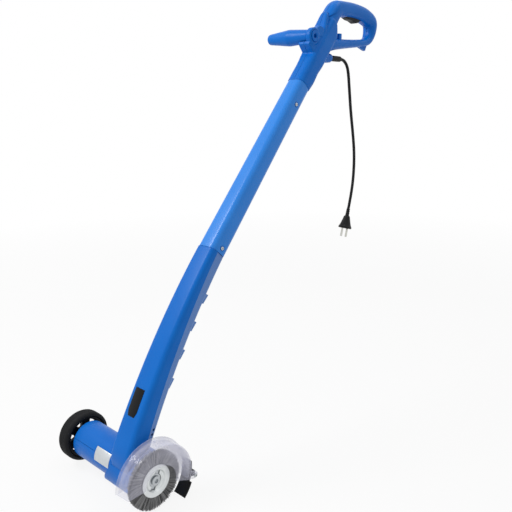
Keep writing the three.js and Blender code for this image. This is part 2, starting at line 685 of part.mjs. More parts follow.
/** Outline of a spur gear with involute flanks; with a wider gap it is the hole of a ring gear. */
function gearOutline(teeth, phase = 0, ring = false) {
  const pitch = gear.module * teeth / 2;
  const base = pitch * Math.cos(gear.pressure);
  const involute = (angle) => Math.tan(angle) - angle;
  const tip = pitch + gear.module * (ring ? gear.dedendumShare : gear.addendumShare);
  const root = pitch - gear.module * (ring ? gear.addendumShare : gear.dedendumShare);
  const slack = gear.backlash / 2 / pitch;
  const half = turn / 4 / teeth + (ring ? slack : -slack);
  const halfAt = (radius) => half + involute(gear.pressure)
    - involute(Math.acos(Math.min(1, base / radius)));
  return Array.from({ length: teeth }, (_, tooth) => {
    const centre = phase + tooth * turn / teeth;
    return [
      [root, centre - halfAt(Math.max(base, root))], [tip, centre - halfAt(tip)],
      [tip, centre + halfAt(tip)], [root, centre + halfAt(Math.max(base, root))],
    ];
  }).flat().map(([radius, angle]) => [radius * Math.cos(angle), radius * Math.sin(angle)]);
}

const ringTeeth = gear.sunTeeth + 2 * gear.planetTeeth;
const carrierReach = gear.module * (gear.sunTeeth + gear.planetTeeth) / 2;
const gearEnd = gear.start + gear.length;
const planetAngles = Array.from({ length: gear.planets }, (_, index) => index * turn / gear.planets);
const planetPhase = turn / gear.planetTeeth / 2;
const ringPhase = turn / ringTeeth / 2;

function gearCase() {
  const { caseStart, caseWall, shaftHole, dedendumShare } = gear;
  const outer = head.motorRadius - head.wall - gap;
  const body = solid(rod(outer, caseStart, gearEnd, 0, 0, 0, roundSides));
  const room = gear.module * (ringTeeth / 2 + dedendumShare) + 2 * gap;
  const floor = caseStart + caseWall;
  const seat = bearing.radius + gap;
  const bell = solid(rod(room, floor, gear.start - gap, 0, 0, 0, roundSides));
  const teeth = gearOutline(ringTeeth, ringPhase, true);
  const mesh = solid(slab(teeth, gear.start - overrun, gearEnd + overrun));
  const collar = solid(rod(seat + bearing.seatWall, floor - overrun, bearing.frontStart + bearing.width));
  return without(
    joined(without(body, bell, mesh), collar),
    solid(rod(seat, bearing.frontStart - gap, gear.start)),
    solid(rod(shaftHole, caseStart - overrun, gear.start)),
  );
}

function planetCarrier() {
  const start = gearEnd + gap;
  const disc = solid(rod(spindle.carrierRadius, start, start + spindle.carrierThickness));
  const pins = planetAngles.map((angle) => solid(rod(gear.planetPin, gear.start, start + overrun,
    carrierReach * Math.cos(angle), carrierReach * Math.sin(angle), 0, smallSides)));
  const shaft = solid(rod(spindle.radius, start + overrun, spindle.flangeStart + overrun));
  const bearingEnd = spindle.bearingStart + spindle.bearingWidth;
  const collar = solid(rod(spindle.radius + bearing.seatWall, bearingEnd + gap, head.face + overrun));
  const flange = solid(rod(spindle.flangeRadius, spindle.flangeStart, brush.back - gap));
  const hub = solid(rod(spindle.hubRadius, brush.back - overrun, spindle.hubEnd));
  const ears = [0, 1].map((index) => solid(block(0, -spindle.earWidth / 2, spindle.earReach,
    spindle.earWidth / 2, brush.back - overrun, spindle.hubEnd - overrun)
    .rotateZ(spindle.earAngle + index * turn / 2)));
  const hole = solid(rod(spindle.screwRadius + gap, spindle.hubEnd - spindle.screwLength, brush.face,
    0, 0, 0, smallSides));
  return without(joined(disc, ...pins, shaft, collar, flange, hub, ...ears), hole);
}

function brushDisc() {
  const web = brush.face - brush.recess;
  const body = solid(turned([
    [0, brush.back], [brush.coreRadius, brush.back], [brush.coreRadius, brush.face - brush.flange],
    [brush.discRadius, brush.face - brush.flange], [brush.discRadius, brush.face],
    [brush.recessRadius, brush.face], [brush.recessRadius - brush.recess / 2, web], [0, web],
  ]));
  const clearance = brush.keyClearance;
  const bore = solid(rod(spindle.hubRadius + clearance, brush.back - overrun, brush.face));
  const keys = [0, 1].map((index) => solid(block(0, -spindle.earWidth / 2 - clearance,
    spindle.earReach + clearance, spindle.earWidth / 2 + clearance, brush.back - overrun, brush.face)
    .rotateZ(spindle.earAngle + index * turn / 2)));
  return without(body, bore, ...keys);
}

/** Even, repeatable scatter between 0 and 1. */
const scatter = (index) => {
  const wave = Math.sin(index * 12.9898) * 43758.5453;
  return wave - Math.floor(wave);
};

/** The triangles of a three-sided prism, by its six corners. */
const prismCorners = [
  0, 2, 1, 3, 4, 5, 0, 1, 4, 0, 4, 3, 1, 2, 5, 1, 5, 4, 2, 0, 3, 2, 3, 5,
];

function bristleRing() {
  const start = brush.back + gap;
  const end = brush.frontPlane;
  const ring = solid(turned([
    [brush.coreRadius + gap, start], [brush.backingRadius, start], [brush.backingRadius, end],
    [brush.coreRadius + gap, end], [brush.coreRadius + gap, start],
  ], roundSides));
  const middle = (start + end) / 2;
  const strands = [];
  const corners = [];
  const span = end - start - 2 * brush.rowInset;
  for (let row = 0; row < brush.rows; row += 1) {
    const root = start + brush.rowInset + span * row / (brush.rows - 1);
    const tip = middle + (root - middle) * brush.flareShare;
    for (let place = 0; place < brush.strands; place += 1) {
      const angle = (place + row % 2 / 2) * turn / brush.strands;
      const reach = brush.tipRadius - brush.raggedness * scatter(row * brush.strands + place);
      const first = strands.length / 3;
      const ends = [
        [brush.backingRadius - brush.rootDepth, root, brush.strandRadius],
        [reach, tip, brush.tipStrandRadius],
      ];
      for (const [radius, station, thickness] of ends) {
        for (let side = 0; side < 3; side += 1) {
          const round = side * turn / 3;
          const tangent = thickness * Math.cos(round);
          strands.push(
            radius * Math.cos(angle) - tangent * Math.sin(angle),
            radius * Math.sin(angle) + tangent * Math.cos(angle),
            station + thickness * Math.sin(round),
          );
        }
      }
      corners.push(...prismCorners.map((corner) => first + corner));
    }
  }
  const geometry = new THREE.BufferGeometry();
  geometry.setAttribute('position', new THREE.Float32BufferAttribute(strands, 3));
  geometry.setIndex(corners);
  return joined(ring, solid(geometry));
}

/** The screw that holds the brush on its hub, with a socket in its head. */
function brushScrew() {
  const { screwRadius, screwHeadRadius, screwHead, screwLength, socketRadius, socketDepth } = spindle;
  const headStart = spindle.hubEnd + gap;
  const headEnd = headStart + screwHead;
  const tip = spindle.hubEnd - screwLength + overrun;
  return turned([
    [0, tip], [screwRadius, tip], [screwRadius, headStart], [screwHeadRadius, headStart],
    [screwHeadRadius, headEnd - socketDepth / 2], [screwHeadRadius - socketDepth / 2, headEnd],
    [socketRadius, headEnd], [socketRadius, headEnd - socketDepth], [0, headEnd - socketDepth],
  ], coarseSides);
}

// Guard and flap

function clearGuard() {
  const { back, backThickness, backRadius, backHole, rimRadius, rimWall } = guard;
  const { front, frontThickness, plateHole, shoulder } = guard;
  const whole = solid(turned([
    [backHole, back], [backRadius, back], [backRadius, back + backThickness],
    [rimRadius, back + backThickness], [rimRadius, front - shoulder / 2],
    [rimRadius - shoulder / 2, front], [plateHole, front], [plateHole, front - frontThickness],
    [rimRadius - rimWall - shoulder / 2, front - frontThickness],
    [rimRadius - rimWall, front - frontThickness - shoulder / 2],
    [rimRadius - rimWall, back + backThickness], [backHole, back + backThickness], [backHole, back],
  ], fineSides));
  const far = 2 * backRadius;
  const kept = solid(slab([
    [0, guard.frontEdgeRise], [far * Math.cos(guard.rearAngle), far * Math.sin(guard.rearAngle)],
    [far, far], [-far, far], [-far, guard.frontEdgeRise],
  ], back - overrun, front + overrun));
  const lug = solid(block(rimRadius - rimWall / 2, -guard.lugWidth / 2, guard.lugReach, guard.lugWidth / 2,
    front - guard.lugThickness, front).rotateZ(guard.lugAngle));
  const hole = solid(rod(screw.shankRadius + gap, front - 2 * guard.lugThickness, front + overrun,
    ...lugCentre, 0, smallSides));
  return without(joined(whole.intersect(kept), lug), hole);
}

const lugRadius = (guard.rimRadius + guard.lugReach) / 2 + 1.5 * gap;
const lugCentre = [lugRadius * Math.cos(guard.lugAngle), lugRadius * Math.sin(guard.lugAngle)];

function rearFlap() {
  const inner = guard.rimRadius + 1.5 * gap;
  const outer = inner + flap.thickness;
  const tucked = solid(sector(inner, outer, flap.endAngle, flap.topAngle, flap.start, flap.tuckedEnd,
    2 * fineSides));
  const free = solid(sector(inner, outer, flap.endAngle, flap.freeAngle, flap.tuckedEnd - overrun,
    flap.freeEnd, 2 * fineSides));
  const boss = solid(block(outer - overrun, -flap.bossWidth / 2, flap.bossReach, flap.bossWidth / 2,
    flap.bossStart, flap.tuckedEnd - weld).rotateZ(guard.lugAngle));
  const hole = solid(rod(screw.shankRadius + gap, flap.bossStart + overrun, guard.front,
    ...lugCentre, 0, smallSides));
  return without(joined(tucked, free, boss), hole);
}

// Wheel

const wheelNear = head.motorEnd - wheel.clearance;
const wheelFar = wheelNear - wheel.width;

function tyre() {
  const { radius, shoulder, tyreInner } = wheel;
  const soft = shoulder / 3;
  return turned([
    [tyreInner, wheelFar + soft], [radius - shoulder, wheelFar], [radius - soft, wheelFar + soft],
    [radius, wheelFar + shoulder], [radius, wheelNear - shoulder], [radius - soft, wheelNear - soft],
    [radius - shoulder, wheelNear], [tyreInner, wheelNear - soft], [tyreInner, wheelFar + soft],
  ], wheelSides);
}

function wheelHub() {
  const { tyreInner, rimInner, hubRadius, bore, shoulder, webThickness, windowOuter } = wheel;
  const rimEdge = shoulder / 3;
  const rim = solid(rod(tyreInner - gap, wheelFar + rimEdge, wheelNear - rimEdge, 0, 0, rimInner,
    roundSides));
  const middle = (wheelNear + wheelFar) / 2;
  const boss = solid(rod(hubRadius, wheelFar + rimEdge, head.motorEnd - wheel.standoff));
  const windowHalf = turn / 2 / wheel.spokes;
  const windows = Array.from({ length: wheel.spokes }, (_, index) => {
    const centre = wheel.windowPhase + index * turn / wheel.spokes;
    const innerTrim = Math.asin(wheel.spokeWidth / 2 / wheel.windowInner);
    const outerTrim = Math.asin(wheel.spokeWidth / 2 / windowOuter);
    return [
      ...arc(windowOuter, centre - windowHalf + outerTrim, centre + windowHalf - outerTrim, 3),
      ...arc(wheel.windowInner, centre + windowHalf - innerTrim, centre - windowHalf + innerTrim, 1),
    ];
  });
  const web = solid(slab(circle(rimInner + overrun, roundSides), middle - webThickness / 2,
    middle + webThickness / 2, windows));
  return without(joined(rim, web, boss), solid(rod(bore, wheelFar - overrun, head.motorEnd)));
}

function wheelAxle() {
  const shoulderEnd = wheelFar + wheel.shoulder / 3 - gap;
  const end = head.motorEnd + axle.bossDepth - gap;
  return turned([
    [0, shoulderEnd - axle.headLength], [axle.headRadius, shoulderEnd - axle.headLength],
    [axle.headRadius, shoulderEnd], [axle.radius, shoulderEnd], [axle.radius, end], [0, end],
  ], innerSides);
}

// Handle

/** The D's centre line and its section at each station, smoothed between the chosen places. */
function loopRing(share, shrink) {
  const curve = new THREE.CatmullRomCurve3(loopShares.map(([rear, rise]) => new THREE.Vector3(
    gripPlace.x + rear * handle.loopLength, gripPlace.y + rise * handle.loopHeight, 0)),
  false, 'centripetal');
  const sizes = new THREE.CatmullRomCurve3(loopShares.map(([, , height, width]) => new THREE.Vector3(
    height * grip.halfHeight, width * grip.halfWidth, 0)));
  const centre = curve.getPoint(share);
  const forward = curve.getTangent(share);
  const size = sizes.getPoint(share);
  const normal = new THREE.Vector3(-forward.y, forward.x, 0);
  const sides = shrink ? smallSides : loopSides;
  return Array.from({ length: sides }, (_, side) => {
    const angle = (side + 0.5) * turn / sides;
    return centre.clone()
      .addScaledVector(normal, (size.x - shrink) * Math.cos(angle))
      .add(new THREE.Vector3(0, 0, (size.y - shrink) * Math.sin(angle)));
  });
}

const loopSolid = (shrink) => solid(skin(Array.from({ length: loopRings + 1 },
  (_, ring) => loopRing(ring / loopRings, shrink))));

/** The neck that grips the tube and the column above it. */
function columnSkin() {
  const { width, front, rear, corner, lip, flare, waist, endShare } = handle;
  const tubeAt = (at, behind) => {
    const tube = upperSize(at, 0);
    return {
      at, width: tube.width + 2 * lip, front: tube.front + lip, rear: tube.rear + behind,
      corner: tube.corner,
    };
  };
  const body = (at, behind = rear) => ({ at, width, front, rear: behind, corner });
  return tubeSkin([
    tubeAt(neckStart, lip), tubeAt(upperTop - handle.flareDrop, flare),
    tubeAt(upperTop - handle.waistDrop, waist), body(housingStart), body(columnEnd - width / 2),
    body(columnEnd, rear * endShare),
  ]);
}

function columnCavity() {
  const { wall, width, front, rear, corner, endShare } = handle;
  const body = (at, behind = rear) => ({
    at, width: width - 2 * wall, front: front - wall, rear: behind - wall, corner: corner - wall,
  });
  return solid(tubeSkin([
    body(upperTop - overrun), body(columnEnd - width / 2), body(columnEnd - wall, rear * endShare),
  ]));
}

const tubeRoom = () => solid(tubeSkin(stations(neckStart - overrun, upperTop + gap, upperPitch,
  (at) => upperSize(at, -gap))));

/** The raised pad on the column's front, which dies away at both ends. */
function crestSkin() {
  const { width, endWidth, rise, corner, tail } = crest;
  const start = housingStart + crest.above;
  const end = columnEnd + crest.past;
  const at = (distance, share) => ({
    at: distance, width: blend(endWidth, width, share), front: handle.front + rise * share, rear: 0,
    corner,
  });
  const [startShare, shoulderShare, fallShare] = crestShares;
  return tubeSkin([
    at(start - tail, startShare), at(start, shoulderShare), at(start + tail, 1), at(end - tail, 1),
    at(end - tail / 3, fallShare), at(end, 0),
  ]);
}

function auxSeatSolid() {
  const { radius, gripFace, hubFace, hubRadius, hubProud } = auxSeat;
  const { corbelWidth, corbelDrop, corbelReach } = auxSeat;
  const { x: rear, y: rise } = seatPlace;
  const barrel = solid(rod(radius, gripFace, hubFace, rear, rise));
  const hub = solid(rod(hubRadius, hubFace - overrun, hubFace + hubProud, rear, rise));
  const gripRoom = solid(rod(auxGrip.rootRadius + 2 * gap, -corbelWidth, gripFace, rear, rise));
  const corbel = solid(slab([
    [rear, rise - corbelDrop], [rear - corbelReach, rise - radius + overrun], [rear - corbelReach / 2, rise],
    [rear + 2 * corbelReach, rise], [rear + 2 * corbelReach, rise - corbelDrop / 2],
  ], -corbelWidth / 2, corbelWidth / 2));
  return joined(barrel, hub, without(corbel, gripRoom));
}

/** The stop block and the fin on the D's lower bar. */
function barDetails() {
  const at = (rear, rise) => [
    gripPlace.x + rear * handle.loopLength, gripPlace.y + rise * handle.loopHeight,
  ];
  const [, barRise, heightShare] = loopShares[10];
  const [pegRear, pegRise] = at(peg.rearShare, barRise);
  const barTop = pegRise + heightShare * grip.halfHeight;
  const stop = solid(block(pegRear - peg.length / 2, pegRise, pegRear + peg.length / 2,
    barTop + peg.height, -peg.width / 2, peg.width / 2));
  const [, finRise] = loopShares[9];
  const web = solid(slab([
    at(fin.startShare, finRise), at(fin.tipShare, finRise).map((value, axis) => value - axis * fin.drop),
    at(fin.endShare, finRise), at(fin.tipShare, finRise),
  ], -fin.width / 2, fin.width / 2));
  return [stop, web];
}

const handleScrews = (() => {
  const low = beside(housingStart + handleScrewColumn.above, handleScrewColumn.rear);
  const spot = (index) => [
    gripPlace.x + loopShares[index][0] * handle.loopLength,
    gripPlace.y + loopShares[index][1] * handle.loopHeight,
  ];
  return [[low.x, low.y], spot(6), spot(9)];
})();

/** A turned shape about the cord's line where it leaves the handle. */
const aboutGland = (profile, from, way = 1, sides = smallSides) => turnedAlong(
  profile, [from, glandPlace.y], [way, 0], sides);

function handleShells() {
  const { pinRadius, pinLength, slotMargin } = trigger;
  const { x: seatX, y: seatY } = seatPlace;
  const outer = joined(
    solid(columnSkin()), loopSolid(0), solid(crestSkin()), auxSeatSolid(), ...barDetails(),
    solid(aboutGland([[0, 0], [gland.rootRadius, 0], [gland.endRadius, gland.length],
      [0, gland.length]], glandPlace.x, 1, loopSides)),
  );
  const socketFloor = auxSeat.hubFace - auxSeat.socketDepth;
  const boltRadius = auxSeat.boltRadius + gap;
  const boltRoom = solid(rod(boltRadius, -farOut, socketFloor - overrun, seatX, seatY, 0, smallSides));
  const socket = solid(rod(boltRadius, socketFloor, farOut, seatX, seatY, 0, roundSides));
  const glandBore = solid(aboutGland([
    [0, 0], [gland.hole, 0], [gland.hole, glandEnd], [0, glandEnd],
  ], glandPlace.x - overrun));
  const pocketEnd = reliefStart + relief.flange + gap;
  const glandPocket = solid(aboutGland([
    [0, 0], [relief.flangeRadius + gap, 0], [relief.flangeRadius + gap, pocketEnd], [0, pocketEnd],
  ], pocketEnd, -1));
  const glandFront = glandPlace.x - 2 * gland.rootRadius;
  const pocketReach = solid(block(glandFront, glandPlace.y - 2 * gland.rootRadius, pocketEnd + gap,
    glandPlace.y + 2 * gland.rootRadius, -handle.width, handle.width));
  const cavity = joined(columnCavity(), loopSolid(handle.wall));
  const hollow = joined(without(cavity, auxSeatCore()), tubeRoom());
  const postHalf = (handle.width - handle.wall) / 2;
  const posts = handleScrews.map(([x, y]) => solid(
    rod(screw.postRadius, -postHalf, postHalf, x, y, 0, smallSides)).intersect(outer));
  const slot = solid(block(triggerFront - slotMargin, gripPlace.y - 2 * grip.halfHeight,
    triggerFront + trigger.length + slotMargin, pivot.rise, -trigger.width / 2 - gap,
    trigger.width / 2 + gap));
  const holes = handleScrews.flatMap(([x, y]) => {
    const half = handleWidthAt(x, y) / 2;
    const seat = screw.headHeight + screw.recess - half;
    return [
      solid(rod(screw.headRadius + gap, -handle.width, seat, x, y, 0, smallSides)),
      solid(rod(screw.shankRadius + gap, -handle.width, half - 2 * handle.wall, x, y, 0, smallSides)),
    ];
  });
  const pinRoom = solid(rod(pinRadius + gap, -pinLength / 2 - gap, pinLength / 2 + gap,
    pivot.rear, pivot.rise, 0, smallSides));
  const whole = without(joined(without(outer, hollow), ...posts), slot, pinRoom, boltRoom, socket,
    glandBore, glandPocket.intersect(pocketReach), ...holes);
  const side = (sign) => solid(block(gripPlace.x - 2 * farOut, gripPlace.y - 2 * farOut,
    gripPlace.x + farOut, gripPlace.y + farOut, sign > 0 ? gap / 2 : -farOut,
    sign > 0 ? farOut : -gap / 2));
  return { left: whole.intersect(side(1)), right: whole.intersect(side(-1)) };
}

/** The solid heart of the side grip's seat, which the column's hollow leaves standing. */
const auxSeatCore = () => solid(rod(auxSeat.radius, auxSeat.gripFace, auxSeat.hubFace,
  seatPlace.x, seatPlace.y));

/** How wide the handle is where a screw goes in. */
function handleWidthAt(x, y) {
  const index = handleScrews.findIndex(([sx, sy]) => sx === x && sy === y);
  const shares = [handle.width / 2 / grip.halfWidth, loopShares[6][3], loopShares[9][3]];
  return 2 * grip.halfWidth * shares[index];
}

function auxGripShape() {
  const { tipRadius, endRound } = auxGrip;
  const start = auxSeat.gripFace - gap;
  const end = start - auxGrip.length;
  const waist = start - auxGrip.length * auxGrip.waistShare;
  const bore = auxSeat.boltRadius + gap;
  const boreEnd = start - auxGrip.boltDepth;
  return turned([
    [bore, start], [auxGrip.rootRadius, start], [auxGrip.rootRadius, waist],
    [tipRadius, end + endRound], [tipRadius - endRound / 3, end + endRound / 3],
    [tipRadius - endRound, end], [0, end], [0, boreEnd], [bore, boreEnd], [bore, start],
  ], innerSides).translate(seatPlace.x, seatPlace.y, 0);
}

function auxBoltShape() {
  const start = auxSeat.gripFace - auxGrip.boltDepth + overrun;
  const end = auxSeat.hubFace - auxSeat.socketDepth - overrun - gap;
  return rod(auxSeat.boltRadius, start, end, seatPlace.x, seatPlace.y, 0, smallSides);
}

function strainRelief() {
  const { length, rootRadius, tipRadius, flangeRadius, flange, rings, ringShare, ringDepth } = relief;
  const stem = glandEnd - reliefStart;
  const pitch = length / rings;
  const ribs = Array.from({ length: rings }, (_, index) => {
    const radius = blend(rootRadius, tipRadius, index / rings);
    const from = stem + index * pitch;
    const to = from + pitch * ringShare;
    return [[radius, from], [radius, to], [radius - ringDepth, to], [radius - ringDepth, from + pitch]];
  }).flat();
  return aboutGland([
    [0, 0], [flangeRadius, 0], [flangeRadius, flange], [rootRadius, flange], ...ribs,
    [tipRadius - gap, stem + length], [0, stem + length],
  ], reliefStart);
}

// Trigger and switch

// The lever's lower face: rearward as a share of its length, then downward as a share of its swell.
const leverShares = [
  [0, 0.1], [0.22, -0.35], [0.45, -0.5], [0.68, -1], [0.86, -0.72], [0.97, -0.2], [1, 0.1],
];
const leverTopShare = 0.9; // where the lever's top starts to slope down

function triggerShape() {
  const { length, proud, width } = trigger;
  const under = gripPlace.y - grip.halfHeight;
  const outline = [
    ...leverShares.map(([x, y]) => [triggerFront + x * length, under + y * proud]),
    [triggerFront + length, triggerTop - proud / 3],
    [triggerFront + length * leverTopShare, triggerTop], [triggerFront, triggerTop],
  ];
  const body = solid(slab(outline, -width / 2, width / 2));
  const bore = solid(rod(trigger.bore, -width, width, pivot.rear, pivot.rise, 0, smallSides));
  return without(body, bore);
}

const plungerRear = gripPlace.x + contact.plungerBehind;

function switchBody() {
  const { length, height, width, plungerRadius, plungerStroke } = contact;
  const body = solid(block(switchStart, switchBottom, switchStart + length, switchBottom + height,
    -width / 2, width / 2));
  const radius = plungerRadius + gap;
  const depth = plungerStroke + overrun + gap;
  const bore = solid(turnedAlong([[0, 0], [radius, 0], [radius, depth], [0, depth]],
    [plungerRear, switchBottom - overrun], [0, 1]));
  return without(body, bore);
}

function plungerShape() {
  const height = switchBottom - triggerTop - gap + contact.plungerInside;
  return turnedAlong([
    [0, 0], [contact.plungerRadius, 0], [contact.plungerRadius, height], [0, height],
  ], [plungerRear, triggerTop + gap], [0, 1]);
}

/** A pan-head screw along any line, its head against the face that it clamps. */
const panScrew = (length, origin, direction) => turnedAlong([
  [0, 0], [screw.headRadius - screw.headHeight / 3, 0], [screw.headRadius, screw.headHeight],
  [screw.shankRadius, screw.headHeight],
  [screw.shankRadius, screw.headHeight + length], [0, screw.headHeight + length],
], origin, direction, screwSides);

// Cord, plug and inner wiring

function tubeAlong(points, radius, sides, steps) {
  const curve = new THREE.CatmullRomCurve3(points, false, 'centripetal');
  const shape = new THREE.Shape(circle(radius, sides).map(([x, y]) => new THREE.Vector2(x, y)));
  return new THREE.ExtrudeGeometry(shape, { steps, bevelEnabled: false, extrudePath: curve });
}

const plugDirection = [-Math.sin(plug.lean), -Math.cos(plug.lean)];
const plugStart = (() => {
  const [x, y] = cordRoute[cordRoute.length - 1];
  return [x + plugDirection[0] * gap, y + plugDirection[1] * gap];
})();

/** Oval rings along the plug's axis: half size in the side view, half size across it. */
function plugRing(distance, long, short) {
  const [way, up] = plugDirection;
  const centre = new THREE.Vector3(plugStart[0] + way * distance, plugStart[1] + up * distance, 0);
  const cross = new THREE.Vector3(-up, way, 0);
  return Array.from({ length: plugSides }, (_, side) => {
    const angle = (side + 0.5) * turn / plugSides;
    return centre.clone().addScaledVector(cross, long * Math.cos(angle))
      .add(new THREE.Vector3(0, 0, short * Math.sin(angle)));
  });
}

const plugFace = plug.reliefLength + plug.bodyLength;

function plugBody() {
  const { reliefLength, reliefRadius, reliefTip, neckRadius, flangeLong, flangeShort, flange } = plug;
  const pitch = reliefLength / plug.ribs;
  const rings = [];
  for (let rib = 0; rib < plug.ribs; rib += 1) {
    const radius = blend(reliefTip, reliefRadius, rib / plug.ribs);
    for (const [share, depth] of ribShares) {
      const size = radius - depth * plug.ribDepth;
      rings.push(plugRing((rib + share) * pitch, size, size));
    }
  }
  const swell = plugFace - reliefLength - flange;
  for (const [share, long, short] of swellShares) {
    rings.push(plugRing(reliefLength + swell * share, blend(neckRadius, flangeLong, long),
      blend(neckRadius, flangeShort, short)));
  }
  rings.push(plugRing(plugFace, flangeLong, flangeShort));
  const radius = plug.pinRadius + gap;
  const depth = plug.pinSocket + overrun;
  const sockets = [1, -1].map((side) => solid(turnedAlong([
    [0, 0], [radius, 0], [radius, depth], [0, depth],
  ], pinPoint(plugFace - plug.pinSocket, side), plugDirection, coarseSides)));
  return without(solid(skin(rings)), ...sockets);
}

function pinPoint(distance, side) {
  const across = side * plug.pinSpacing / 2;
  return [
    plugStart[0] + plugDirection[0] * distance - plugDirection[1] * across,
    plugStart[1] + plugDirection[1] * distance + plugDirection[0] * across,
  ];
}

const plugPin = (side) => turnedAlong([
  [0, gap], [plug.pinRadius, gap], [plug.pinRadius, plug.pinSocket + plug.pinLength - plug.pinRadius / 2],
  [plug.pinRadius / 2, plug.pinSocket + plug.pinLength], [0, plug.pinSocket + plug.pinLength],
], pinPoint(plugFace - plug.pinSocket, side), plugDirection, coarseSides);

// How the loom bends from the column to the switch: rearward, upward and towards the mid-plane.
const loomBendShares = [[0.35, 0.75, 0.5], [0.7, 1, 0.8]];

function innerLoom() {
  const points = stations(loom.start, columnEnd - loom.endDrop, 2 * tubePitch,
    (at) => beside(at, 0, loom.side));
  const last = points.at(-1);
  const entry = new THREE.Vector3(switchStart - gap, switchBottom + contact.height / 2, 0);
  for (const [rear, rise, side] of loomBendShares) {
    points.push(new THREE.Vector3(blend(last.x, entry.x, rear), blend(last.y, entry.y, rise),
      blend(last.z, entry.z, side)));
  }
  points.push(new THREE.Vector3(entry.x - loom.radius, entry.y, entry.z), entry);
  return tubeAlong(points, loom.radius, loomSides, loomSteps);
}

// Assembly

const group = new THREE.Group();
const machine = new THREE.Group();
machine.quaternion.setFromRotationMatrix(new THREE.Matrix4().makeBasis(
  new THREE.Vector3(0, 1, 0), new THREE.Vector3(0, 0, 1), new THREE.Vector3(1, 0, 0)));
machine.position.set(0, -gripPlace.x, -gripPlace.y);
group.add(machine);

/** Adds a named mesh to a group, from a geometry or a solid. */
function piece(name, shape, material, parent = machine) {
  const geometry = closed(shape instanceof wasm.Manifold ? shapeOf(shape) : shape);
  geometry.computeVertexNormals();
  const mesh = new THREE.Mesh(geometry, material);
  mesh.name = name;
  parent.add(mesh);
  return mesh;
}

function subGroup() {
  const part = new THREE.Group();
  machine.add(part);
  return part;
}

function addHead() {
  const housing = subGroup();
  piece('front_shell', frontShell(), finishes.blueHousing(), housing);
  piece('rear_shell', rearShell(), finishes.blueHousing(), housing);
  piece('head_bottom_shell', headBottomShell(), finishes.blueHousing(), housing);
  piece('badge_plate', badgePlate(0), finishes.blackPlastic(), housing);
  piece('rating_plate', labelPlate(0), finishes.silverLabel(), housing);
  rearScrewAt.forEach((at, index) => {
    const seat = lowerSize(at, 0).rear - rearBoss.recess + gap + screw.headHeight;
    piece(`rear_screw_${index + 1}`, panScrew(rearBoss.screwReach, beside(at, seat).toArray(), crossAxis(at)),
      finishes.steel(), housing);
  });
}

function addMotor() {
  const motor = subGroup();
  piece('stator_core', statorCore(), finishes.laminate(), motor);
  piece('field_coil_1', fieldCoil(false), finishes.copper(), motor);
  piece('field_coil_2', fieldCoil(true), finishes.copper(), motor);
  [1, 2].forEach((index) => piece(`carbon_brush_${index}`, carbonBrush(index), finishes.brass(), motor));
  const ring = (start) => rod(bearing.radius, start, start + bearing.width, 0, 0,
    bearing.bore + gap, coarseSides);
  piece('motor_bearing_rear', ring(bearing.rearStart), finishes.steel(), motor);
  piece('motor_bearing_front', ring(bearing.frontStart), finishes.steel(), motor);
  piece('rotor_shaft', rotorShaft(), finishes.steel(), motor);
  piece('rotor_core', rotorCore(), finishes.laminate(), motor);
  piece('commutator', rod(rotor.commutatorRadius, rotor.commutatorStart, rotor.commutatorEnd, 0, 0,
    rotor.shaftRadius + gap, coarseSides), finishes.copper(), motor);
  piece('cooling_fan', coolingFan(), finishes.blackPlastic(), motor);
}

function addDrive() {
  const drive = subGroup();
  piece('gear_case', gearCase(), finishes.whiteNylon(), drive);
  planetAngles.forEach((angle, index) => {
    const bore = circle(gear.planetPin + gap, smallSides);
    const planet = piece(`planet_gear_${index + 1}`,
      slab(gearOutline(gear.planetTeeth), gear.start + gap, gearEnd - gap, [bore]),
      finishes.steel(), drive);
    planet.position.set(carrierReach * Math.cos(angle), carrierReach * Math.sin(angle), 0);
    planet.rotation.z = angle + planetPhase;
  });
  piece('planet_carrier', planetCarrier(), finishes.steel(), drive);
  const { bearingRadius, bearingStart, bearingWidth } = spindle;
  piece('spindle_bearing', rod(bearingRadius, bearingStart, bearingStart + bearingWidth, 0, 0,
    spindle.radius + gap, coarseSides), finishes.steel(), drive);
  piece('brush_disc', brushDisc(), finishes.whiteDisc(), drive);
  piece('bristle_ring', bristleRing(), finishes.greyNylon(), drive);
  piece('brush_screw', brushScrew(), finishes.steel(), drive);
}

function addGuard() {
  const cover = subGroup();
  piece('brush_guard', clearGuard(), finishes.clearPlastic(), cover);
  piece('guard_flap', rearFlap(), finishes.blackRubber(), cover);
  piece('guard_screw', panScrew(guard.front - flap.bossStart - 2 * overrun,
    [...lugCentre, guard.front + gap + screw.headHeight], [0, 0, -1]), finishes.steel(), cover);
}

function addWheel() {
  const support = subGroup();
  piece('wheel_axle', wheelAxle(), finishes.steel(), support);
  piece('wheel_hub', wheelHub(), finishes.blackPlastic(), support);
  piece('wheel_tyre', tyre(), finishes.blackRubber(), support);
}

/** Where a screw holds the tube on one of its connectors, and how far out the tube's side is. */
const joints = [lowerTube.length + joinScrew.above, neckStart - joinScrew.belowNeck].map((at) => ({
  at, centre: beside(at, 0), face: upperSize(at, 0).width / 2,
}));

function upperTubeShape() {
  const start = lowerTube.length + gap;
  const outer = solid(tubeSkin(stations(start, upperTop, upperPitch, (at) => upperSize(at, 0))));
  const inner = solid(tubeSkin(stations(start - overrun, upperTop + overrun, upperPitch,
    (at) => upperSize(at, upperTube.wall))));
  const { pocketRadius, pocketDepth } = joinScrew;
  const pockets = joints.flatMap(({ face, centre: { x, y } }) => [
    solid(rod(pocketRadius, face - pocketDepth, face + overrun, x, y, 0, smallSides)),
    solid(rod(screw.shankRadius + gap, face - 2 * upperTube.wall, face + overrun, x, y, 0, smallSides)),
  ]);
  return without(outer, inner, ...pockets);
}

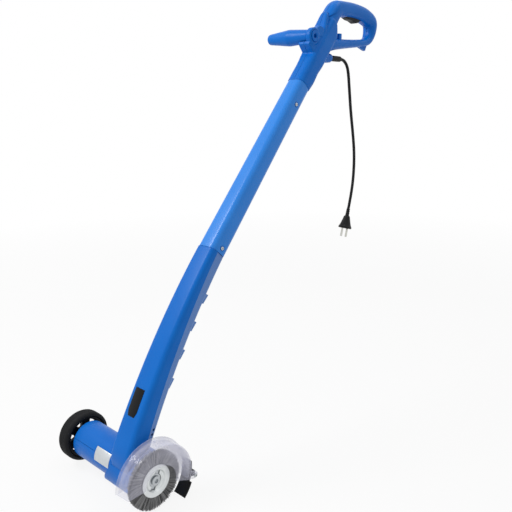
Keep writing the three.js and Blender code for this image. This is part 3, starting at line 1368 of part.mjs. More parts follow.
/** A sleeve's section inside the upper tube, or inside the lower tube with its narrower back. */
function sleeveSize(at, shrink) {
  const size = upperSize(at, upperTube.wall + gap + shrink);
  if (at > lowerTube.length) return size;
  const { width, front, rear } = size;
  return {
    ...size, width: width - 3 * lowerTube.rearInset, front: front - 2 * gap, rear: rear - 2 * gap,
    taper: lowerTube.rearTaper + gap,
  };
}

/** A sleeve inside the tube, with a hole for its screw. */
function connectorShape(middle, joint) {
  const step = middle > lowerTube.length ? [] : [middle, middle + gap];
  const skinOf = (past, shrink) => solid(tubeSkin([
    middle - connector.below - past, ...step, middle + connector.above + past,
  ].map((at) => sleeveSize(at, shrink))));
  const { face, centre } = joint;
  const hole = solid(rod(screw.shankRadius + gap, 0, face, centre.x, centre.y, 0, smallSides));
  return without(skinOf(0, 0), skinOf(overrun, connector.wall), hole);
}

function addTube() {
  const shaft = subGroup();
  const [lower, upper] = joints;
  piece('upper_tube', upperTubeShape(), finishes.blueTube(), shaft);
  piece('tube_connector_lower', connectorShape(lowerTube.length, lower), finishes.blackPlastic(), shaft);
  piece('tube_connector_upper', connectorShape(upper.at, upper), finishes.blackPlastic(), shaft);
  joints.forEach(({ centre, face }, index) => {
    const top = face - joinScrew.pocketDepth + gap + screw.headHeight;
    piece(`tube_screw_${index + 1}`, panScrew(joinScrew.length, [centre.x, centre.y, top], [0, 0, -1]),
      finishes.steel(), shaft);
  });
}

function addHandle() {
  const top = subGroup();
  const shells = handleShells();
  piece('handle_left_shell', shells.left, finishes.blueHousing(), top);
  piece('handle_right_shell', shells.right, finishes.blueHousing(), top);
  handleScrews.forEach(([x, y], index) => {
    const seat = -handleWidthAt(x, y) / 2 + screw.recess - gap;
    const length = handleWidthAt(x, y) - 4 * handle.wall - screw.headHeight;
    piece(`handle_screw_${index + 1}`, panScrew(length, [x, y, seat], [0, 0, 1]), finishes.steel(), top);
  });
  piece('aux_grip', auxGripShape(), finishes.blueHousing(), top);
  piece('aux_bolt', auxBoltShape(), finishes.steel(), top);
  piece('trigger', triggerShape(), finishes.blackPlastic(), top);
  piece('trigger_pin', rod(trigger.pinRadius, -trigger.pinLength / 2, trigger.pinLength / 2,
    pivot.rear, pivot.rise, 0, coarseSides), finishes.steel(), top);
  piece('switch_body', switchBody(), finishes.blackPlastic(), top);
  piece('switch_plunger', plungerShape(), finishes.whiteNylon(), top);
  piece('inner_loom', innerLoom(), finishes.blackRubber(), top);
}

function addCord() {
  const lead = subGroup();
  piece('strain_relief', strainRelief(), finishes.blackRubber(), lead);
  const route = cordRoute.map(([x, y]) => new THREE.Vector3(x, y, 0));
  piece('cord', tubeAlong(route, cord.radius, cordSides, cordSteps), finishes.blackRubber(), lead);
  piece('plug_body', plugBody(), finishes.blackRubber(), lead);
  [1, -1].forEach((side, index) => piece(`plug_pin_${index + 1}`, plugPin(side), finishes.steel(), lead));
}

addHead();
addMotor();
addDrive();
addGuard();
addWheel();
addTube();
addHandle();
addCord();

export default group;
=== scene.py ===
# %% [markdown]
# # An electric patio cleaner, dressed for the studio
# The machine is held by its D-handle. A bent tube runs down to a motor that lies across it, with a
# joint brush under a clear guard on one side and a support wheel on the other. The construction
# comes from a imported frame, and this lesson gives every visible piece its real surface.

# %% Load the frame
import math

import bmesh
import bpy
from mathutils import Matrix, Vector


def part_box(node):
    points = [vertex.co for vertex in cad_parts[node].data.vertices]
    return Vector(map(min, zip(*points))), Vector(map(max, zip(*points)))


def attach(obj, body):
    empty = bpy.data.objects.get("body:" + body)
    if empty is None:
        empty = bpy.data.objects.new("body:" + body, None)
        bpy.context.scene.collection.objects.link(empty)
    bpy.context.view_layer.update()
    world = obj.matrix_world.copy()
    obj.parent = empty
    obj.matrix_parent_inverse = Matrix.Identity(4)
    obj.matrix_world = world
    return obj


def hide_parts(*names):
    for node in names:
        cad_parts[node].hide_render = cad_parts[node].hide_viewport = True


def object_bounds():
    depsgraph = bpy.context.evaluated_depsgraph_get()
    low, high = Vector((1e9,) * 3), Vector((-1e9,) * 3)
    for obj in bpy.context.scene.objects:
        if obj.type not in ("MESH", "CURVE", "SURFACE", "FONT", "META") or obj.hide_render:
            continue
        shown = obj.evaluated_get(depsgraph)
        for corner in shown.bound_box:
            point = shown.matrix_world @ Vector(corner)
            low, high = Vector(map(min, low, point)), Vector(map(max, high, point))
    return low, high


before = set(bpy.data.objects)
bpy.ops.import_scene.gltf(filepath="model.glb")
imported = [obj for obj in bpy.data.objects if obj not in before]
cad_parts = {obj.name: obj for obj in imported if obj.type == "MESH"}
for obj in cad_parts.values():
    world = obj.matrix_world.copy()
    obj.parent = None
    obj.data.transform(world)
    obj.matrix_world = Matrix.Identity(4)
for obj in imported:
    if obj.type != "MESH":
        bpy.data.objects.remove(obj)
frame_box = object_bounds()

scene = bpy.context.scene

# %% [markdown]
# ## Where things are
# The machine is laid out from the spindle's axis: rear is towards the operator, rise is up and side
# is towards the brush. All sizes below are millimetres, and one function turns such a place into
# the frame's metres, so that a drawing's numbers can be used as they are.

# %% Places and units
MM = 0.001
TURN = 2 * math.pi
disc_low, disc_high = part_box("brush_disc")
AXIS_Y = (disc_low.y + disc_high.y) / 2
AXIS_Z = (disc_low.z + disc_high.z) / 2
GRIP_REAR = -AXIS_Y / MM
GRIP_RISE = -AXIS_Z / MM
GAP = 0.3
OVERRUN = 1.0


def row(rear, rise, side=0.0):
    """A place in millimetres from the spindle's axis, in the frame's metres."""
    return Vector((side * MM, AXIS_Y + rear * MM, AXIS_Z + rise * MM))


print("spindle axis at", round(AXIS_Y, 4), round(AXIS_Z, 4))

# %% [markdown]
# ## The camera
# The photograph looks down a little from the front right of the brush. The camera's place was
# found by matching the wheel, the brush, the tube's joints and the handle in the picture.

# %% Camera
CAMERA_PLACE = Vector((0.74065, -1.10258, -0.19108))
CAMERA_FORWARD = Vector((-0.6524, 0.7186, -0.2406)).normalized()
CAMERA_LENS = 42.19


def add_object(name, data):
    """An object that shows the data, linked into the scene."""
    thing = bpy.data.objects.new(name, data)
    scene.collection.objects.link(thing)
    return thing


camera_data = bpy.data.cameras.new("camera")
camera_data.lens = CAMERA_LENS
camera_data.sensor_width = 36
camera_data.sensor_fit = "HORIZONTAL"
camera = add_object("camera", camera_data)
camera_right = CAMERA_FORWARD.cross(Vector((0, 0, 1))).normalized()
camera_up = camera_right.cross(CAMERA_FORWARD)
turned_to = Matrix((camera_right, camera_up, -CAMERA_FORWARD)).transposed().to_4x4()
camera.matrix_world = Matrix.Translation(CAMERA_PLACE) @ turned_to
scene.camera = camera
print("camera looks", [round(v, 3) for v in CAMERA_FORWARD])

# %% [markdown]
# ## The cord
# The mains lead is a short one that ends in a two-pin plug. It leaves its boot level, turns down
# under its own weight and hangs in a slack S. A cord could be simulated as a chain, but the picture
# shows the whole of it, so its line is a list of given places, with one smooth curve
# through them and a round section.

# %% Cord
CORD_RADIUS = 3.1
CORD_ROUTE = [
    (548.8, 680.4), (556.0, 680.1), (563.5, 678.0), (570.6, 673.4), (576.3, 666.6),
    (580.2, 657.8), (583.0, 647.0), (586.0, 631.0), (589.5, 612.0), (594.0, 587.0),
    (599.5, 562.0), (605.5, 537.0), (611.0, 512.0), (614.6, 490.0), (616.3, 468.0),
    (616.2, 446.0), (614.4, 424.0), (610.6, 402.0), (605.4, 381.0), (601.2, 365.6),
]

cord_curve = bpy.data.curves.new("mains_cord", "CURVE")
cord_curve.dimensions = "3D"
cord_curve.bevel_depth = CORD_RADIUS * MM
cord_curve.bevel_resolution = 5
cord_curve.use_fill_caps = True
cord_line = cord_curve.splines.new("BEZIER")
cord_line.bezier_points.add(len(CORD_ROUTE) - 1)
cord_line.resolution_u = 6
for point, (rear, rise) in zip(cord_line.bezier_points, CORD_ROUTE):
    point.co = row(rear, rise)
    point.handle_left_type = "AUTO"
    point.handle_right_type = "AUTO"
cord = add_object("mains_cord", cord_curve)

# %% [markdown]
# ## Ways to make a solid
# Most pieces are mouldings, so they are skins over sections, turned shapes and straight slabs,
# joined and cut as a mould maker would. A short function makes each kind, and every solid is
# closed with its faces outwards, so that a boolean can work on it. The first ones here lay a skin
# over rings of places, which is how a bent tube or a slab is made.

# %% Skins, slabs, rods and blocks
def mesh_piece(name, points, faces):
    """A closed mesh from places in millimetres, with its faces turned outwards."""
    shape = bmesh.new()
    corners = [shape.verts.new(row(*point)) for point in points]
    for face in faces:
        shape.faces.new([corners[index] for index in face])
    bmesh.ops.recalc_face_normals(shape, faces=shape.faces)
    mesh = bpy.data.meshes.new(name)
    shape.to_mesh(mesh)
    shape.free()
    return add_object(name, mesh)


def skin(name, rings):
    """A closed skin over rings that have the same number of places."""
    sides = len(rings[0])
    points = [point for ring in rings for point in ring]
    faces = []
    for ring in range(len(rings) - 1):
        for side in range(sides):
            here = ring * sides + side
            after = ring * sides + (side + 1) % sides
            faces.append((here, after, after + sides, here + sides))
    faces.append(tuple(range(sides)))
    faces.append(tuple(range(len(points) - sides, len(points))))
    return mesh_piece(name, points, faces)


def slab(name, outline, start, end):
    """An outline in the side view, drawn out along the spindle."""
    return skin(name, [[(x, y, station) for x, y in outline] for station in (start, end)])


def arc(radius, start, end, steps, x=0.0, y=0.0):
    """Places along an arc in the side view."""
    angles = [start + (end - start) * step / steps for step in range(steps + 1)]
    return [(x + radius * math.cos(a), y + radius * math.sin(a)) for a in angles]


def circle(radius, sides=64, x=0.0, y=0.0):
    return arc(radius, 0, TURN, sides, x, y)[:-1]


def rod(name, radius, start, end, x=0.0, y=0.0, sides=48):
    return slab(name, circle(radius, sides, x, y), start, end)


def block(name, left, bottom, right, top, start, end):
    return slab(name, [(left, bottom), (right, bottom), (right, top), (left, top)], start, end)


print("a quarter arc:", [tuple(round(v, 1) for v in spot) for spot in arc(10, 0, TURN / 4, 2)])

# %% [markdown]
# ### Turned shapes and soft corners
# A rim, a boss or a screw is turned from a profile, as on a lathe. No real moulding has a sharp
# corner, so a profile is softened first: each corner becomes a short curve, which catches a
# highlight. That costs less than a bevel after the booleans, and it can't fail on a thin wall.

# %% Soft corners and turned shapes
def soften(points, radius, steps=4):
    """Rounds each inner corner of a line of points."""
    line = [Vector(point) for point in points]
    soft = [line[0]]
    for before, corner, after in zip(line, line[1:], line[2:]):
        back, ahead = before - corner, after - corner
        reach = min(radius, 0.45 * back.length, 0.45 * ahead.length)
        if reach < 1e-4 or back.angle(ahead) > 0.97 * math.pi:
            soft.append(corner)
            continue
        first, last = corner + back.normalized() * reach, corner + ahead.normalized() * reach
        for step in range(steps + 1):
            share = step / steps
            soft.append(first.lerp(corner, share).lerp(corner.lerp(last, share), share))
    soft.append(line[-1])
    return [tuple(point) for point in soft]


def turned(name, profile, sides=96, origin=(0, 0, 0), direction=(0, 0, 1)):
    """A turned shape from (radius, station) pairs. It closes on its line or on itself."""
    axis = Vector(direction).normalized()
    across = axis.orthogonal().normalized()
    other = axis.cross(across)
    start = Vector(origin)
    ring_shape = (Vector(profile[0]) - Vector(profile[-1])).length < 1e-6
    places = profile[:-1] if ring_shape else profile
    points, rings = [], []
    for radius, station in places:
        first = len(points)
        if radius < 1e-6:
            points.append(start + axis * station)
            rings.append([first])
            continue
        for side in range(sides):
            angle = TURN * side / sides
            out = across * math.cos(angle) + other * math.sin(angle)
            points.append(start + axis * station + out * radius)
        rings.append(list(range(first, first + sides)))
    pairs = list(zip(rings, rings[1:])) + ([(rings[-1], rings[0])] if ring_shape else [])
    faces = []
    for low, high in pairs:
        for side in range(sides):
            after = (side + 1) % sides
            corners = [low[side % len(low)], low[after % len(low)]]
            corners += [high[after % len(high)], high[side % len(high)]]
            faces.append(tuple(dict.fromkeys(corners)))
    faces = [face for face in faces if len(face) > 2]
    return mesh_piece(name, points, faces)


print("a softened corner has", len(soften([(0, 0), (10, 0), (10, 10)], 2)), "places")

# %% [markdown]
# ### Joining, cutting and finishing
# Solids are joined and cut with booleans, each baked into the mesh at once, so that a finished
# piece carries no modifiers. The last function gives a piece its material, its smooth shading, the
# body that it rides on and the nodes of the frame that it stands for.

# %% Joining, cutting and finishing a solid
def settle(piece):
    """Bakes a piece's modifiers into its mesh."""
    bpy.context.view_layer.update()
    graph = bpy.context.evaluated_depsgraph_get()
    mesh = bpy.data.meshes.new_from_object(piece.evaluated_get(graph))
    piece.modifiers.clear()
    old = piece.data
    piece.data = mesh
    bpy.data.meshes.remove(old)
    mesh.name = piece.name
    return piece


def carve(piece, *tools, operation="DIFFERENCE"):
    """Cuts tools out of a piece, joins them or keeps what they share. The tools are used up."""
    for tool in tools:
        step = piece.modifiers.new("carve", "BOOLEAN")
        step.solver = "MANIFOLD"
        step.operation = operation
        step.object = tool
        settle(piece)
        bpy.data.objects.remove(tool)
    return piece


def unite(piece, *tools):
    return carve(piece, *tools, operation="UNION")


def shared(piece, tool):
    return carve(piece, tool, operation="INTERSECT")


def rounded(piece, width, segments=3, angle=35):
    """Rounds a piece's edges by a bevel."""
    step = piece.modifiers.new("edge", "BEVEL")
    step.width = width * MM
    step.segments = segments
    step.limit_method = "ANGLE"
    step.angle_limit = math.radians(angle)
    return settle(piece)


def turned_piece(piece, angle):
    """Turns a piece about the spindle's axis, in its mesh."""
    about = Matrix.Translation(row(0, 0)) @ Matrix.Rotation(angle, 4, "X")
    piece.data.transform(about @ Matrix.Translation(-row(0, 0)))
    return piece


def copy_of(piece, name):
    return add_object(name, piece.data.copy())


def dress(piece, material, body, nodes, angle=32):
    """Gives a piece its material, its smooth shading, its body and the nodes it stands for."""
    piece.data.materials.clear()
    piece.data.materials.append(material)
    if piece.type == "MESH":
        piece.data.shade_smooth()
        piece.data.set_sharp_from_angle(angle=math.radians(angle))
        print(piece.name, "faces", len(piece.data.polygons))
    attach(piece, body)
    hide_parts(*nodes)

# %% [markdown]
# ## Finishes
# A finish starts from the real material and from how its surface was made. Colours are written as
# hex values, as a paint chart gives them, and one function turns them to linear light. Nodes are
# added by one small function: it sets what it is given as a value, and links what it is given as a
# node or a socket.

# %% Colours and nodes
def linear(code):
    """An sRGB hex colour in linear light."""
    values = [int(code[i:i + 2], 16) / 255 for i in (1, 3, 5)]
    return [v / 12.92 if v <= 0.04045 else ((v + 0.055) / 1.055) ** 2.4 for v in values] + [1.0]


def add_node(tree, kind, inputs=None, **settings):
    """Adds a node with its settings and its inputs, each a value, a socket or a node."""
    node = tree.nodes.new(kind)
    for name, value in settings.items():
        setattr(node, name, value)
    for name, value in (inputs or {}).items():
        if isinstance(value, bpy.types.Node):
            value = next(socket for socket in value.outputs if socket.enabled)
        if isinstance(value, bpy.types.NodeSocket):
            tree.links.new(value, node.inputs[name])
        else:
            node.inputs[name].default_value = value
    return node


print("a middle grey in linear light:", [round(v, 3) for v in linear("#808080")])

# %% [markdown]
# ### What a moulded or worked surface shows
# Each finish gets three things: a slight mottle of its colour, a gloss that varies a little, and
# the fine relief that the mould's spark-eroded wall or the tool leaves. A real grain is about 0.1 mm,
# too fine for the picture, so each is drawn several times as coarse. Edges are softened by a bevel
# in the shader. A plastic's specular level is low here, because the white room would veil a deep
# colour. Patterns are read from the object's own coordinates, in metres, so a scale is 1 / size.

# %% Mottle, gloss and grain
PLASTIC_SPECULAR = 0.17
PLASTIC_PATCH, METAL_PATCH = 45, 6


def new_finish(name, base, roughness, **shader):
    """An empty finish: its tree, its shader and the object's coordinates."""
    material = bpy.data.materials.new(name)
    material.use_nodes = True
    tree = material.node_tree
    tree.nodes.clear()
    principled = add_node(tree, "ShaderNodeBsdfPrincipled", {
        "Base Color": linear(base), "Roughness": roughness, **shader})
    add_node(tree, "ShaderNodeOutputMaterial", {"Surface": principled})
    place = add_node(tree, "ShaderNodeTexCoord").outputs["Object"]
    return material, tree, principled, place


def mottle(tree, principled, place, light, dark, size):
    """Lets the colour drift between two tones over patches of that size in millimetres."""
    noise = add_node(tree, "ShaderNodeTexNoise", {
        "Vector": place, "Scale": 1 / (size * MM), "Detail": 3.0, "Roughness": 0.55})
    tones = add_node(tree, "ShaderNodeMix", {0: noise, 6: linear(dark), 7: linear(light)},
                     data_type="RGBA")
    tree.links.new(tones.outputs[2], principled.inputs["Base Color"])


def vary_roughness(tree, principled, place, low, high, size):
    """Lets the roughness drift between two values over patches of that size."""
    noise = add_node(tree, "ShaderNodeTexNoise", {
        "Vector": place, "Scale": 1 / (size * MM), "Detail": 4.0})
    span = add_node(tree, "ShaderNodeMapRange", {
        "Value": noise, "From Min": 0.3, "From Max": 0.7, "To Min": low, "To Max": high})
    tree.links.new(span.outputs["Result"], principled.inputs["Roughness"])


def grain(tree, principled, place, size, depth, edge, stretch=(1, 1, 1)):
    """A fine relief of that size and depth, over edges softened by that radius, in millimetres."""
    mapped = add_node(tree, "ShaderNodeMapping", {"Vector": place, "Scale": stretch})
    noise = add_node(tree, "ShaderNodeTexNoise", {
        "Vector": mapped, "Scale": 1 / (size * MM), "Detail": 2.0})
    soft = add_node(tree, "ShaderNodeBevel", {"Radius": edge * MM}, samples=4)
    relief = add_node(tree, "ShaderNodeBump", {
        "Height": noise, "Normal": soft, "Distance": depth * MM, "Strength": 1.0})
    tree.links.new(relief.outputs["Normal"], principled.inputs["Normal"])


def moulding(name, light, dark, roughness, grain_size, grain_depth, edge=0.5,
             specular=PLASTIC_SPECULAR, **shader):
    """A moulded plastic or rubber, or a coat that flowed like one."""
    material, tree, principled, place = new_finish(
        name, light, roughness, **{"Specular IOR Level": specular, **shader})
    mottle(tree, principled, place, light, dark, PLASTIC_PATCH)
    vary_roughness(tree, principled, place, 0.88 * roughness, 1.15 * roughness, PLASTIC_PATCH / 3)
    grain(tree, principled, place, grain_size, grain_depth, edge)
    return material


def metal(name, light, dark, roughness, grain_size, grain_depth, stretch=(1, 1, 1)):
    """A worked metal. A stretch below one draws its grain out along that axis."""
    material, tree, principled, place = new_finish(name, light, roughness, Metallic=1.0)
    mottle(tree, principled, place, light, dark, METAL_PATCH)
    vary_roughness(tree, principled, place, 0.8 * roughness, 1.25 * roughness, METAL_PATCH - 1)
    grain(tree, principled, place, grain_size, grain_depth, 0.3, stretch)
    return material


print("a plastic's mottle is", PLASTIC_PATCH, "mm across, a metal's", METAL_PATCH)

# %% [markdown]
# ### The blues
# The housings are injection-moulded ABS in a strong mid blue, satin where the mould was eroded. The
# rear strip is moulded apart from them. Its paler, greyer blue is a painted sheen: it stands in for
# the white room's glancing reflection on the strip.
#
# The upper tube is drawn steel under powder coat, a little glossier, with the coat's orange peel.

# %% Blue finishes
blue_abs = moulding("moulded_abs_blue", "#0570cd", "#0064c0", 0.36, 1.4, 0.012)
# The rear strip's paler blue is painted sheen, the room's glancing reflection put into its colour.
strip_abs_painted_sheen = moulding("moulded_abs_blue_bright", "#4f82c8", "#4476bd", 0.3, 1.4, 0.012, specular=0.5)
blue_coat = moulding("powder_coat_blue", "#2b86e2", "#247ed9", 0.32, 3.2, 0.004, edge=0.3,
                     **{"Coat Weight": 0.25, "Coat Roughness": 0.22})
print("blues:", blue_abs.name, strip_abs_painted_sheen.name, blue_coat.name)

# %% [markdown]
# ### The blacks
# The trigger, wheel centre and badge are black ABS. The flap, boot, cord and plug are soft PVC and
# rubber, which scatter light and look grey where they face it. The tyre is a foamed polyurethane,
# the greyest and most matt of them, with open pores.

# %% Black finishes
black_abs = moulding("moulded_abs_black", "#101114", "#0b0c0e", 0.42, 1.2, 0.012)
badge_black = moulding("gloss_badge_black", "#0d0f12", "#090a0c", 0.22, 2.5, 0.004, edge=0.3)
black_pvc = moulding("soft_pvc_black", "#17181a", "#101113", 0.5, 1.2, 0.01, edge=0.3)
black_rubber = moulding("sheet_rubber_black", "#1e1f21", "#17181a", 0.6, 1.6, 0.03)
tyre_foam = moulding("polyurethane_tyre_grey", "#1f2021", "#17181a", 0.72, 1.8, 0.06)
print("blacks:", *[finish.name for finish in (black_abs, badge_black, black_pvc, black_rubber,
                                              tyre_foam)])

# %% [markdown]
# ### The clear guard
# The guard is moulded polycarbonate, clear with a slight blue-grey haze from wear and from its
# thickness. Glass with real refraction would darken what is behind it and need many more samples,
# so the sheet is a thin film instead: partly see-through, more so where it is seen square on, and
# with a gloss that tightens towards its edges. A faint glow stands for the light that reaches it
# from behind. Dust frosts it where the brush throws it, at the top and the rear.

# %% Clear finish
clear_sheet, tree, principled, place = new_finish(
    "clear_polycarbonate", "#d9d9ea", 0.09, **{
        "IOR": 1.58, "Coat Weight": 0.5, "Coat Roughness": 0.04,
        "Emission Color": linear("#dcdcec"), "Emission Strength": 0.06})
haze = add_node(tree, "ShaderNodeTexNoise", {
    "Vector": place, "Scale": 1 / (18 * MM), "Detail": 3.0})
worn = add_node(tree, "ShaderNodeMapRange", {
    "Value": haze, "From Min": 0.35, "From Max": 0.75, "To Min": 0.08, "To Max": 0.16})
grazing = add_node(tree, "ShaderNodeLayerWeight", {"Blend": 0.35})
cover = add_node(tree, "ShaderNodeMath", {0: grazing.outputs["Facing"], 1: 0.4},
                 operation="MULTIPLY")
film = add_node(tree, "ShaderNodeMath", {0: worn, 1: cover}, operation="ADD")
DUST_WAY = (0.0, 0.8, 0.6)
off_axis = add_node(tree, "ShaderNodeVectorMath", {0: place, 1: row(0, 0)}, operation="SUBTRACT")
thrown = add_node(tree, "ShaderNodeVectorMath", {0: off_axis, 1: DUST_WAY},
                  operation="DOT_PRODUCT")
frost = add_node(tree, "ShaderNodeMapRange", {
    "Value": thrown.outputs["Value"], "From Min": 34 * MM, "From Max": 60 * MM, "To Min": 0.0,
    "To Max": 0.2}, interpolation_type="SMOOTHSTEP")
clouded = add_node(tree, "ShaderNodeMath", {0: film, 1: frost}, operation="ADD")
tree.links.new(clouded.outputs["Value"], principled.inputs["Alpha"])
vary_roughness(tree, principled, place, 0.07, 0.16, 12)
print("clear sheet:", len(tree.nodes), "nodes")

# %% [markdown]
# ### The metals
# Screws and shafts are zinc-plated steel. The brush's disc is pressed steel with a pale zinc coat,
# almost white in the studio. The motor holds laminated steel, copper windings and brass boxes, and
# the plug's pins are nickel-plated brass.

# %% Metal finishes
zinc_screw = metal("zinc_plated_steel", "#c4c8cb", "#a9adb1", 0.3, 1.1, 0.01)
zinc_disc = metal("pale_zinc_pressing", "#e3e6e6", "#cfd3d4", 0.42, 1.5, 0.02)
bright_steel = metal("ground_steel", "#bfc2c5", "#a4a7ab", 0.24, 1.0, 0.01, (1, 4, 4))
laminated_steel = metal("laminated_core_steel", "#8c9095", "#6d7176", 0.5, 0.7, 0.08,
                        (1, 0.05, 0.05))
copper_wire = metal("enamelled_copper_wire", "#b8713c", "#8f4f25", 0.35, 0.9, 0.12, (0.05, 1, 1))
brass_box = metal("brass_strip", "#cfae5c", "#b0903f", 0.3, 1.2, 0.01)
nickel_pin = metal("nickel_plated_brass", "#d2d2cc", "#bcbcb5", 0.2, 1.2, 0.005)
foil = metal("brushed_foil_label", "#d6dadd", "#c3c8cc", 0.38, 0.6, 0.01, (0.06, 1, 1))
print("metals:", zinc_screw.name, zinc_disc.name, bright_steel.name, foil.name, "and four more")

# %% [markdown]
# ### Nylon and bristles
# The fan and the switch's plunger are plain white nylon. The brush is set with nylon that holds
# abrasive grit. Each strand is a slightly different grey, which comes from a random value that the
# strands carry, and the grit shows as fine pale specks.

# %% Nylon finishes
white_nylon = moulding("moulded_nylon_white", "#e2e0d8", "#d3d1c8", 0.45, 1.2, 0.01)
grit_nylon, tree, principled, place = new_finish("grit_nylon_grey", "#6d6d6c", 0.55)
own_tone = add_node(tree, "ShaderNodeAttribute", attribute_name="tone")
specks = add_node(tree, "ShaderNodeTexNoise", {
    "Vector": place, "Scale": 1 / (0.9 * MM), "Detail": 1.0})
tones = add_node(tree, "ShaderNodeMix", {
    0: own_tone.outputs["Fac"], 6: linear("#3e3e40"), 7: linear("#d2d2d3")}, data_type="RGBA")
gritty = add_node(tree, "ShaderNodeMix", {0: 0.5, 6: tones.outputs[2], 7: specks},
                  data_type="RGBA", blend_type="MULTIPLY")
tree.links.new(gritty.outputs[2], principled.inputs["Base Color"])
relief = add_node(tree, "ShaderNodeBump", {
    "Height": specks, "Distance": 0.05 * MM, "Strength": 1.0})
tree.links.new(relief.outputs["Normal"], principled.inputs["Normal"])
print("nylons:", white_nylon.name, grit_nylon.name)

# %% [markdown]
# ## The studio
# A pale floor and an even white room. The room lights the machine at a plain level. What the
# camera, a reflection and a see-through piece see of the room is full white, as in the photograph,
# and the floor keeps a matt share of its own near the machine, which holds the shadow.

# %% Floor and room
FLOOR_SIZE = 30.0
ROOM_LIGHT = 0.56
FLOOR_SHADE = 0.12
WHITE = (1, 1, 1, 1)


def seen_directly(tree):
    """1 for what the camera, a reflection or a see-through piece looks at, and 0 for light."""
    rays = add_node(tree, "ShaderNodeLightPath").outputs
    either = add_node(tree, "ShaderNodeMath", {
        0: rays["Is Camera Ray"], 1: rays["Is Glossy Ray"]}, operation="MAXIMUM")
    return add_node(tree, "ShaderNodeMath", {0: either, 1: rays["Is Transmission Ray"]},
                    operation="MAXIMUM")


floor_mesh = bpy.data.meshes.new("studio_floor")
floor_level = frame_box[0][2] - 0.0005
half = FLOOR_SIZE / 2
floor_mesh.from_pydata([(x, y, floor_level) for x, y in (
    (-half, -half), (half, -half), (half, half), (-half, half))], [], [(0, 1, 2, 3)])
floor = add_object("studio_floor", floor_mesh)

floor_paint = bpy.data.materials.new("pale_floor_paint")
floor_paint.use_nodes = True
tree = floor_paint.node_tree
tree.nodes.clear()
matt = add_node(tree, "ShaderNodeBsdfDiffuse", {"Color": linear("#e6e6e6")})
glow = add_node(tree, "ShaderNodeEmission", {"Color": WHITE, "Strength": 1.0})
floor_place = add_node(tree, "ShaderNodeTexCoord").outputs["Object"]
distance = add_node(tree, "ShaderNodeVectorMath", {0: floor_place}, operation="LENGTH")
far_off = add_node(tree, "ShaderNodeMapRange", {
    "Value": distance.outputs["Value"], "From Min": 1.2, "From Max": 2.6,
    "To Min": 1 - FLOOR_SHADE, "To Max": 1.0})
shown = add_node(tree, "ShaderNodeMath", {0: seen_directly(tree), 1: far_off},
                 operation="MULTIPLY")
painted = add_node(tree, "ShaderNodeMixShader", {0: shown, 1: matt, 2: glow})
add_node(tree, "ShaderNodeOutputMaterial", {"Surface": painted})
floor_mesh.materials.append(floor_paint)

room = bpy.data.worlds.new("white_room")
scene.world = room
room.use_nodes = True
tree = room.node_tree
tree.nodes.clear()
lit = add_node(tree, "ShaderNodeBackground", {"Color": WHITE, "Strength": ROOM_LIGHT})
white = add_node(tree, "ShaderNodeBackground", {"Color": WHITE, "Strength": 1.0})
mixed = add_node(tree, "ShaderNodeMixShader", {0: seen_directly(tree), 1: lit, 2: white})
add_node(tree, "ShaderNodeOutputWorld", {"Surface": mixed})
print("floor at", round(floor_level, 4))

# %% [markdown]
# ### The lamps
# Two round soft boxes stand off the machine and face its middle. The larger one overhead fills, and
# the one at the front left draws the highlights. The view transform is Standard, so that a colour
# renders as it is written.

# %% Lamps
AIM = Vector((0.0, -0.2, -0.2))


def soft_lamp(name, place, size, power):
    lamp_data = bpy.data.lights.new(name, "AREA")
    lamp_data.shape = "DISK"
    lamp_data.size = size
    lamp_data.energy = power
    lamp = add_object(name, lamp_data)
    lamp.location = place
    lamp.rotation_euler = (AIM - Vector(place)).to_track_quat("-Z", "Y").to_euler()
    print(name, "is", round((AIM - Vector(place)).length, 2), "m away")


soft_lamp("key_softbox", (-0.8, -1.35, 0.85), 0.8, 19)
soft_lamp("top_softbox", (0.5, 0.5, 1.7), 1.2, 9)
scene.view_settings.view_transform = "Standard"

# %% [markdown]
# ## The line of the tube
# The tube leaves the head on a long bend and then runs straight to the handle. Everything on it is
# placed by a distance along that line, so one function gives the line's place and lean, and
# another a place beside it.

# %% The tube's line
FOOT_REAR, FOOT_RISE = -13.2, 40.0
FOOT_LEAN, TOP_LEAN = math.radians(25.5), math.radians(39.8)
BEND_RADIUS = 1500.0
BEND_LENGTH = BEND_RADIUS * (TOP_LEAN - FOOT_LEAN)


def along(distance):
    """Where the tube's line is at a distance, and how far it leans back."""
    bent = min(max(distance, 0.0), BEND_LENGTH)
    lean = FOOT_LEAN + bent / BEND_RADIUS
    straight = distance - bent
    bend_rear = BEND_RADIUS * (math.cos(FOOT_LEAN) - math.cos(lean))
    bend_rise = BEND_RADIUS * (math.sin(lean) - math.sin(FOOT_LEAN))
    rear = FOOT_REAR + bend_rear + straight * math.sin(lean)
    rise = FOOT_RISE + bend_rise + straight * math.cos(lean)
    return rear, rise, lean


def beside(distance, behind, side=0.0):
    """A place that far behind the line, square to it."""
    rear, rise, lean = along(distance)
    return (rear + behind * math.cos(lean), rise - behind * math.sin(lean), side)


FOOT_STATION = -(FOOT_REAR * math.sin(FOOT_LEAN) + FOOT_RISE * math.cos(FOOT_LEAN))
print("the bend is", round(BEND_LENGTH), "mm long, and the spindle is at", round(FOOT_STATION, 1))

# %% [markdown]
# ### The tube's sections
# A section is a rounded rectangle about the line. The lower tube is moulded in two parts, a front
# and a narrower strip behind, and it gets slimmer on its way up. The upper tube goes on from its
# size. A size pair is a width and a depth, and what lies between two stations is blended.

# %% The tube's sections
LOWER_LENGTH, UPPER_TOP = 357.0, 795.0
LOWER = {"foot": (50.0, 42.0), "top": (42.0, 38.0), "corner": 9.5, "wall": 2.5}
UPPER = {"foot": (42.0, 38.0), "top": (37.0, 35.0), "corner": 12.0, "wall": 2.2}
FOOT_TUCK, REAR_INSET, REAR_TAPER, REAR_EXTRA = 10.0, 0.9, 2.5, (4.2, 1.0)
PARTING_FOOT, PARTING_TOP = 9.0, -5.0
CORNER_STEPS = 8
TUBE_PITCH = 9.0


